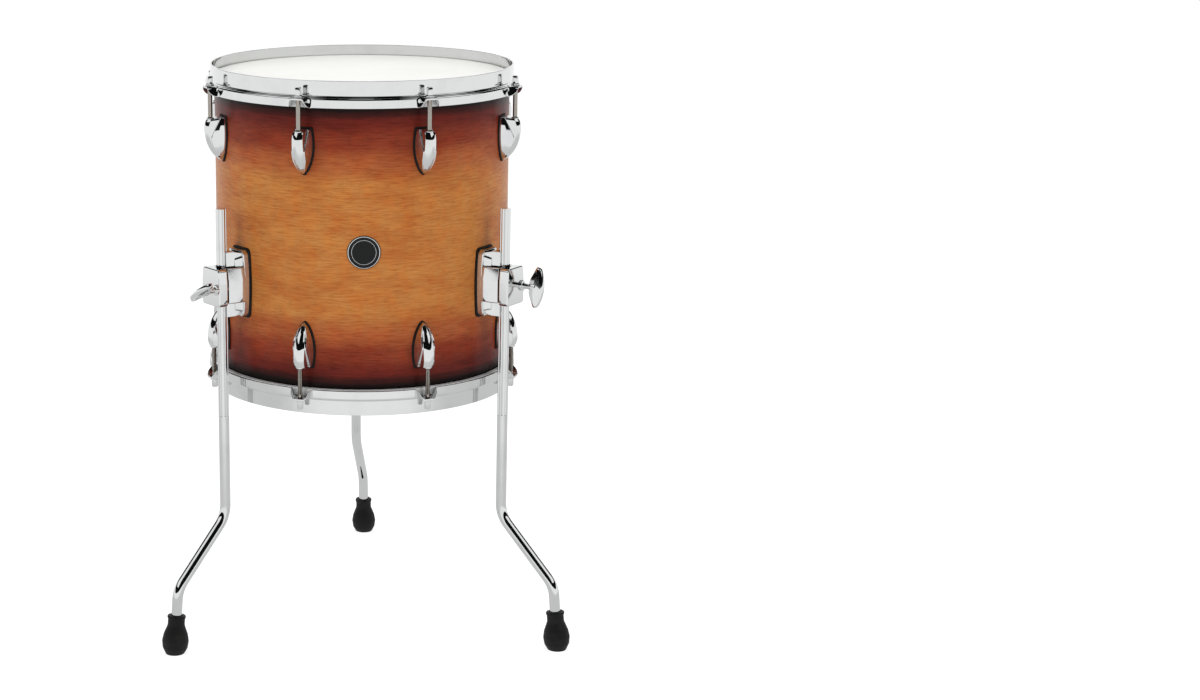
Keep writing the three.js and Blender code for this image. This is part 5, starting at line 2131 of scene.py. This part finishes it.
@dataclass
class Leg:
    """A leg bent twice, fluted where it is clamped, in a rubber foot."""

    top: float = 39 * MM
    flute_end: float = -215 * MM
    flute_overlap: float = 3 * MM
    flutes: int = 8
    flute_depth: float = 1.1 * MM
    flute_share: float = 0.34
    sides: int = 40
    upper_bend: float = -337.5 * MM
    offset: float = 76 * MM
    slope: float = math.radians(45)
    lean: float = math.radians(5)
    bend_radius: float = 35 * MM
    floor: float = -492 * MM
    end_height: float = 9 * MM
    foot_length: float = 47 * MM
    foot_neck: float = 10.2 * MM
    foot_lip: float = 11 * MM
    foot_bulb: float = 16.1 * MM
    foot_sunk: float = -2 * MM
    bore_gap: float = 0.1 * MM
    bore_end_gap: float = 0.3 * MM
    tread: float = 0.01 * MM

    @property
    def lower_bend(self) -> float:
        """The height of the lower bend's corner."""
        return self.upper_bend - self.offset / math.tan(self.slope)

    def out_at(self, height: float) -> float:
        """How far out the last run is at a height."""
        return self.offset + (self.lower_bend - height) * math.tan(self.lean)

    def bar(self, sweeper: SweptBar, place: Matrix, name: str) -> Piece:
        """The steel bar of one leg, whose upright axis goes to the place given."""
        end = self.floor + self.end_height
        corners = [
            (0.0, 0.0, self.flute_end + self.flute_overlap),
            (0.0, 0.0, self.upper_bend),
            (0.0, -self.offset, self.lower_bend),
            (0.0, -self.out_at(end), end),
        ]
        values = {
            "Radius": LEG_RADIUS,
            "Bend Radius": self.bend_radius,
            "Sides": self.sides,
            "Flutes": self.flutes,
            "Flute Depth": self.flute_depth,
            "Flute Share": self.flute_share,
            "Flute Start": self.flute_end,
            "Flute End": self.top,
        }
        return shade(sweeper.sweep(name, corners, values, place), math.radians(40))

    def foot_form(self) -> Form:
        """The rubber foot about the leg's end, before its tread is cut flat."""
        length = self.foot_length / math.cos(self.lean)
        bulb, neck, lip = self.foot_bulb, self.foot_neck, self.foot_lip
        bore, bottom = LEG_RADIUS + self.bore_gap, self.end_height - self.bore_end_gap
        corners: list[Corner] = [
            (0.0, self.foot_sunk, 0.0),
            (neck, self.foot_sunk, 2 * MM),
            (bulb * 0.93, 7 * MM, 5 * MM),
            (bulb, 15.5 * MM, 9 * MM),
            (bulb * 0.9, 24 * MM, 9 * MM),
            (neck, 35 * MM, 12 * MM),
            (neck, length - 4.2 * MM, 1 * MM),
            (lip, length - 3 * MM, 0.8 * MM),
            (lip, length - 0.6 * MM, 0.8 * MM),
            (lip - 1.4 * MM, length, 0.5 * MM),
            (bore + 0.3 * MM, length, 0.3 * MM),
            (bore, length - 0.6 * MM, 0.2 * MM),
            (bore, bottom, 0.0),
            (0.0, bottom, 0.0),
        ]
        return turned(rounded(corners, 8, closed=False), 64)

    def foot(self, place: Matrix, name: str) -> Piece:
        """The rubber foot, leaning with the leg and flat where it stands."""
        stand = place @ shift(y=-self.out_at(self.floor), z=self.floor)
        made = self.foot_form().moved(stand @ about("X", -self.lean)).object(name)
        with opened(made.data) as work:
            plane = {"plane_co": (0, 0, self.tread), "plane_no": (0, 0, 1)}
            everything = work.verts[:] + work.edges[:] + work.faces[:]
            cut = bmesh.ops.bisect_plane(work, geom=everything, clear_inner=True, **plane)
            edges = [item for item in cut["geom_cut"] if isinstance(item, bmesh.types.BMEdge)]
            bmesh.ops.contextual_create(work, geom=edges)
        return shade(made)

    def build(self, station: Station, sweeper: SweptBar, shop: Workshop) -> None:
        """Hands over the bar and the foot of one leg."""
        side = station.side
        place = shop.home @ about("Z", station.azimuth) @ shift(y=-LEG_CIRCLE)
        place = place @ about("Z", station.leg_turn)
        bar = self.bar(sweeper, place, f"{side}_leg_bar")
        shop.hand_over(bar, f"{side}_leg_body", Slot.CHROME, f"{side}_leg")
        foot = self.foot(place, f"{side}_foot_moulding")
        shop.hand_over(foot, f"{side}_leg_body", Slot.RUBBER, f"{side}_foot")


# Floor, light and camera


@dataclass(frozen=True)
class Screen:
    """A dark screen round the stage that only the metal sees.

    Its azimuths and elevations are in degrees, as seen from the middle of the stage.
    """

    name: str
    start: float
    end: float
    low: float
    high: float
    cloth: str = "101010"

    def mirrored(self) -> tuple[Screen, Screen]:
        """This screen's like on the left, and itself on the right."""
        left = replace(self, name=f"left_{self.name}", start=-self.end, end=-self.start)
        return left, replace(self, name=f"right_{self.name}")


SCREENS = (
    Screen("front_screen", -34, 34, 6, 85),
    *Screen("upper_screen", 34, 142, 52, 85).mirrored(),
    *Screen("middle_screen", 34, 142, 7, 22).mirrored(),
    *Screen("outer_screen", 100, 142, 22, 52).mirrored(),
    *Screen("lower_screen", 34, 82, 5, 7, "3a3a3a").mirrored(),
)

LAMPS = (
    ("left_key", (-2.3, -2.3, 2.1), 1.5, 36.0),
    ("right_key", (2.3, -2.3, 2.1), 1.5, 31.0),
    ("top", (0.0, 0.4, 3.0), 2.2, 30.0),
)
"""The name, place, size and power of each lamp."""


@dataclass
class Studio:
    """A pale floor, soft light from above and the sides, and the photograph's camera."""

    floor_size: float = 60.0
    floor_share: float = 0.55
    floor_glow: float = 1.4
    # How deep the painted shade is, and where it lies, on the floor that the metal reflects.
    painted_shade_depth: float = 0.3
    painted_shade_radii: Span = (1.5, 2.5)
    painted_shade_front: Span = (-1.3, -0.5)
    sky_light: float = 0.62
    aim: Vector = field(default_factory=lambda: Vector((0.0, 0.0, 0.4)))
    screen_radius: float = 5.0
    screen_steps: int = 13
    eye_height: float = 0.5
    distance: float = 2816.9 * MM
    height: float = 537.3 * MM
    pitch: float = 0.2526
    turn: float = math.radians(-0.7)
    focal_pixels: float = 2336.6
    principal: tuple[float, float] = (362.0, 371.8)
    picture: tuple[int, int] = (1200, 700)
    sensor: float = 36.0
    clip: Span = (0.05, 100.0)

    def camera(self, home: Matrix) -> None:
        """The camera at the photograph's viewing angle."""
        data = bpy.data.cameras.new("camera")
        data.sensor_width = self.sensor
        data.lens = self.focal_pixels / self.picture[0] * self.sensor
        data.shift_x = (self.picture[0] / 2 - self.principal[0]) / self.picture[0]
        data.shift_y = (self.principal[1] - self.picture[1] / 2) / self.picture[0]
        data.clip_start, data.clip_end = self.clip
        made = link("camera", data)
        place = home @ about("Z", self.turn) @ shift(y=-self.distance, z=self.height)
        made.matrix_world = place @ about("X", QUARTER - self.pitch)
        bpy.context.scene.camera = made

    @staticmethod
    def _rays(bench: Bench) -> tuple[Wire, Wire]:
        """Two switches: 1 on camera and transmission rays, and 1 on glossy rays."""
        path = bench.node("ShaderNodeLightPath")
        return path["Is Camera Ray"].most(path["Is Transmission Ray"]), path["Is Glossy Ray"]

    def floor(self) -> None:
        """A white floor that goes out to the horizon and keeps the shadow. In the metal's
        reflections it carries a painted shade near the drum, away from its front.
        """
        corners = rectangle(self.floor_size / 2, self.floor_size / 2)
        made = Form(np.array([(x, y, 0.0) for x, y in corners]), [(0, 1, 2, 3)]).object("floor")
        finish, bench = new_material("floor_paper")
        straight, glossy = self._rays(bench)
        x, y, _ = bench.parts(bench.position(Vector((0.0, 0.0, 0.0))))
        near = bench.radius(x, y).step(*self.painted_shade_radii, 1.0, 0.0)
        # Painted shade: the floor that the metal reflects is darker within a few metres of the drum,
        # except towards the front.
        painted_floor_shade = near * y.step(*self.painted_shade_front) * self.painted_shade_depth
        paper = bench.node("ShaderNodeBsdfDiffuse", {"Color": colour("f2f2f2")})
        strength = (1.0 - painted_floor_shade) * glossy + straight * self.floor_glow
        glow = bench.node("ShaderNodeEmission", {"Color": colour("ffffff"), "Strength": strength})
        share = glossy.most(straight * self.floor_share)
        shader = bench.node("ShaderNodeMixShader", {0: share, 1: paper, 2: glow})
        bench.node("ShaderNodeOutputMaterial", {"Surface": shader})
        made.data.materials.append(finish)
        made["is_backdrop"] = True

    def world(self) -> None:
        """An even soft light, and a white backdrop for what the camera and the metal see."""
        world = bpy.data.worlds.new("studio")
        bpy.context.scene.world = world
        world.use_nodes = True
        bench = Bench(world.node_tree)
        straight, glossy = self._rays(bench)
        strength = straight.most(glossy).step(0.0, 1.0, self.sky_light, 1.0)
        inputs = {"Color": colour("ffffff"), "Strength": strength}
        light = bench.node("ShaderNodeBackground", inputs)
        bench.node("ShaderNodeOutputWorld", {"Surface": light})

    def lamp(self, name: str, place: Corner, size: float, power: float) -> None:
        """A square lamp that faces the middle of the drum."""
        data = bpy.data.lights.new(name, "AREA")
        data.shape = "SQUARE"
        data.size = size
        data.energy = power
        made = link(name, data)
        made.location = place
        made.rotation_euler = (self.aim - Vector(place)).to_track_quat("-Z", "Y").to_euler()
        made.visible_glossy = False

    def screen(self, given: Screen) -> None:
        """Hangs a dark screen, which bends round the stage."""
        steps = self.screen_steps
        points = []
        for elevation in np.radians(np.linspace(given.low, given.high, steps)):
            out = self.screen_radius * math.cos(elevation)
            height = self.eye_height + self.screen_radius * math.sin(elevation)
            azimuth = np.radians(np.linspace(given.start, given.end, steps))
            points.append(around(azimuth, out, height))
        faces = [
            (row + i, row + i + 1, row + steps + i + 1, row + steps + i)
            for row in range(0, steps * (steps - 1), steps)
            for i in range(steps - 1)
        ]
        made = Form(np.concatenate(points), faces).object(given.name)
        finish, bench = new_material(f"{given.name}_cloth")
        cloth = bench.node("ShaderNodeEmission", {"Color": colour(given.cloth), "Strength": 1.0})
        bench.node("ShaderNodeOutputMaterial", {"Surface": cloth})
        made.data.materials.append(finish)
        for ray in ("camera", "diffuse", "transmission", "shadow"):
            setattr(made, f"visible_{ray}", False)
        made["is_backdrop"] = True

    def build(self, home: Matrix) -> None:
        """Sets the stage."""
        self.camera(home)
        self.floor()
        self.world()
        for lamp in LAMPS:
            self.lamp(*lamp)
        for given in SCREENS:
            self.screen(given)
        bpy.context.scene.view_settings.view_transform = "Standard"


def main(loaded: Values, part_box: tuple[Vector, Vector]) -> None:
    """Builds the dressed drum round the loaded frame.

    Args:
        part_box: the CAD model's box. It is not used.
    """
    LOG.info("%d nodes on %d bodies", len(loaded["nodes"]), len(loaded["bodies"]))
    low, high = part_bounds("shell")
    shop = Workshop(centre=(low + high) / 2)
    shop.dress(FINISHES)
    Studio().build(shop.home)
    copies, sweeper = RingOfCopies(), SweptBar()
    Shell().build(shop)
    for end in End:
        Head().build(end, shop)
    Lugs().build(copies, shop)
    for station in STATIONS:
        Bracket().build(station, copies, shop)
        Leg().build(station, sweeper, shop)


if __name__ == "__main__":
    logging.basicConfig(level=logging.INFO, format="%(name)s: %(message)s")
    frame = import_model()
    main(frame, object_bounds())
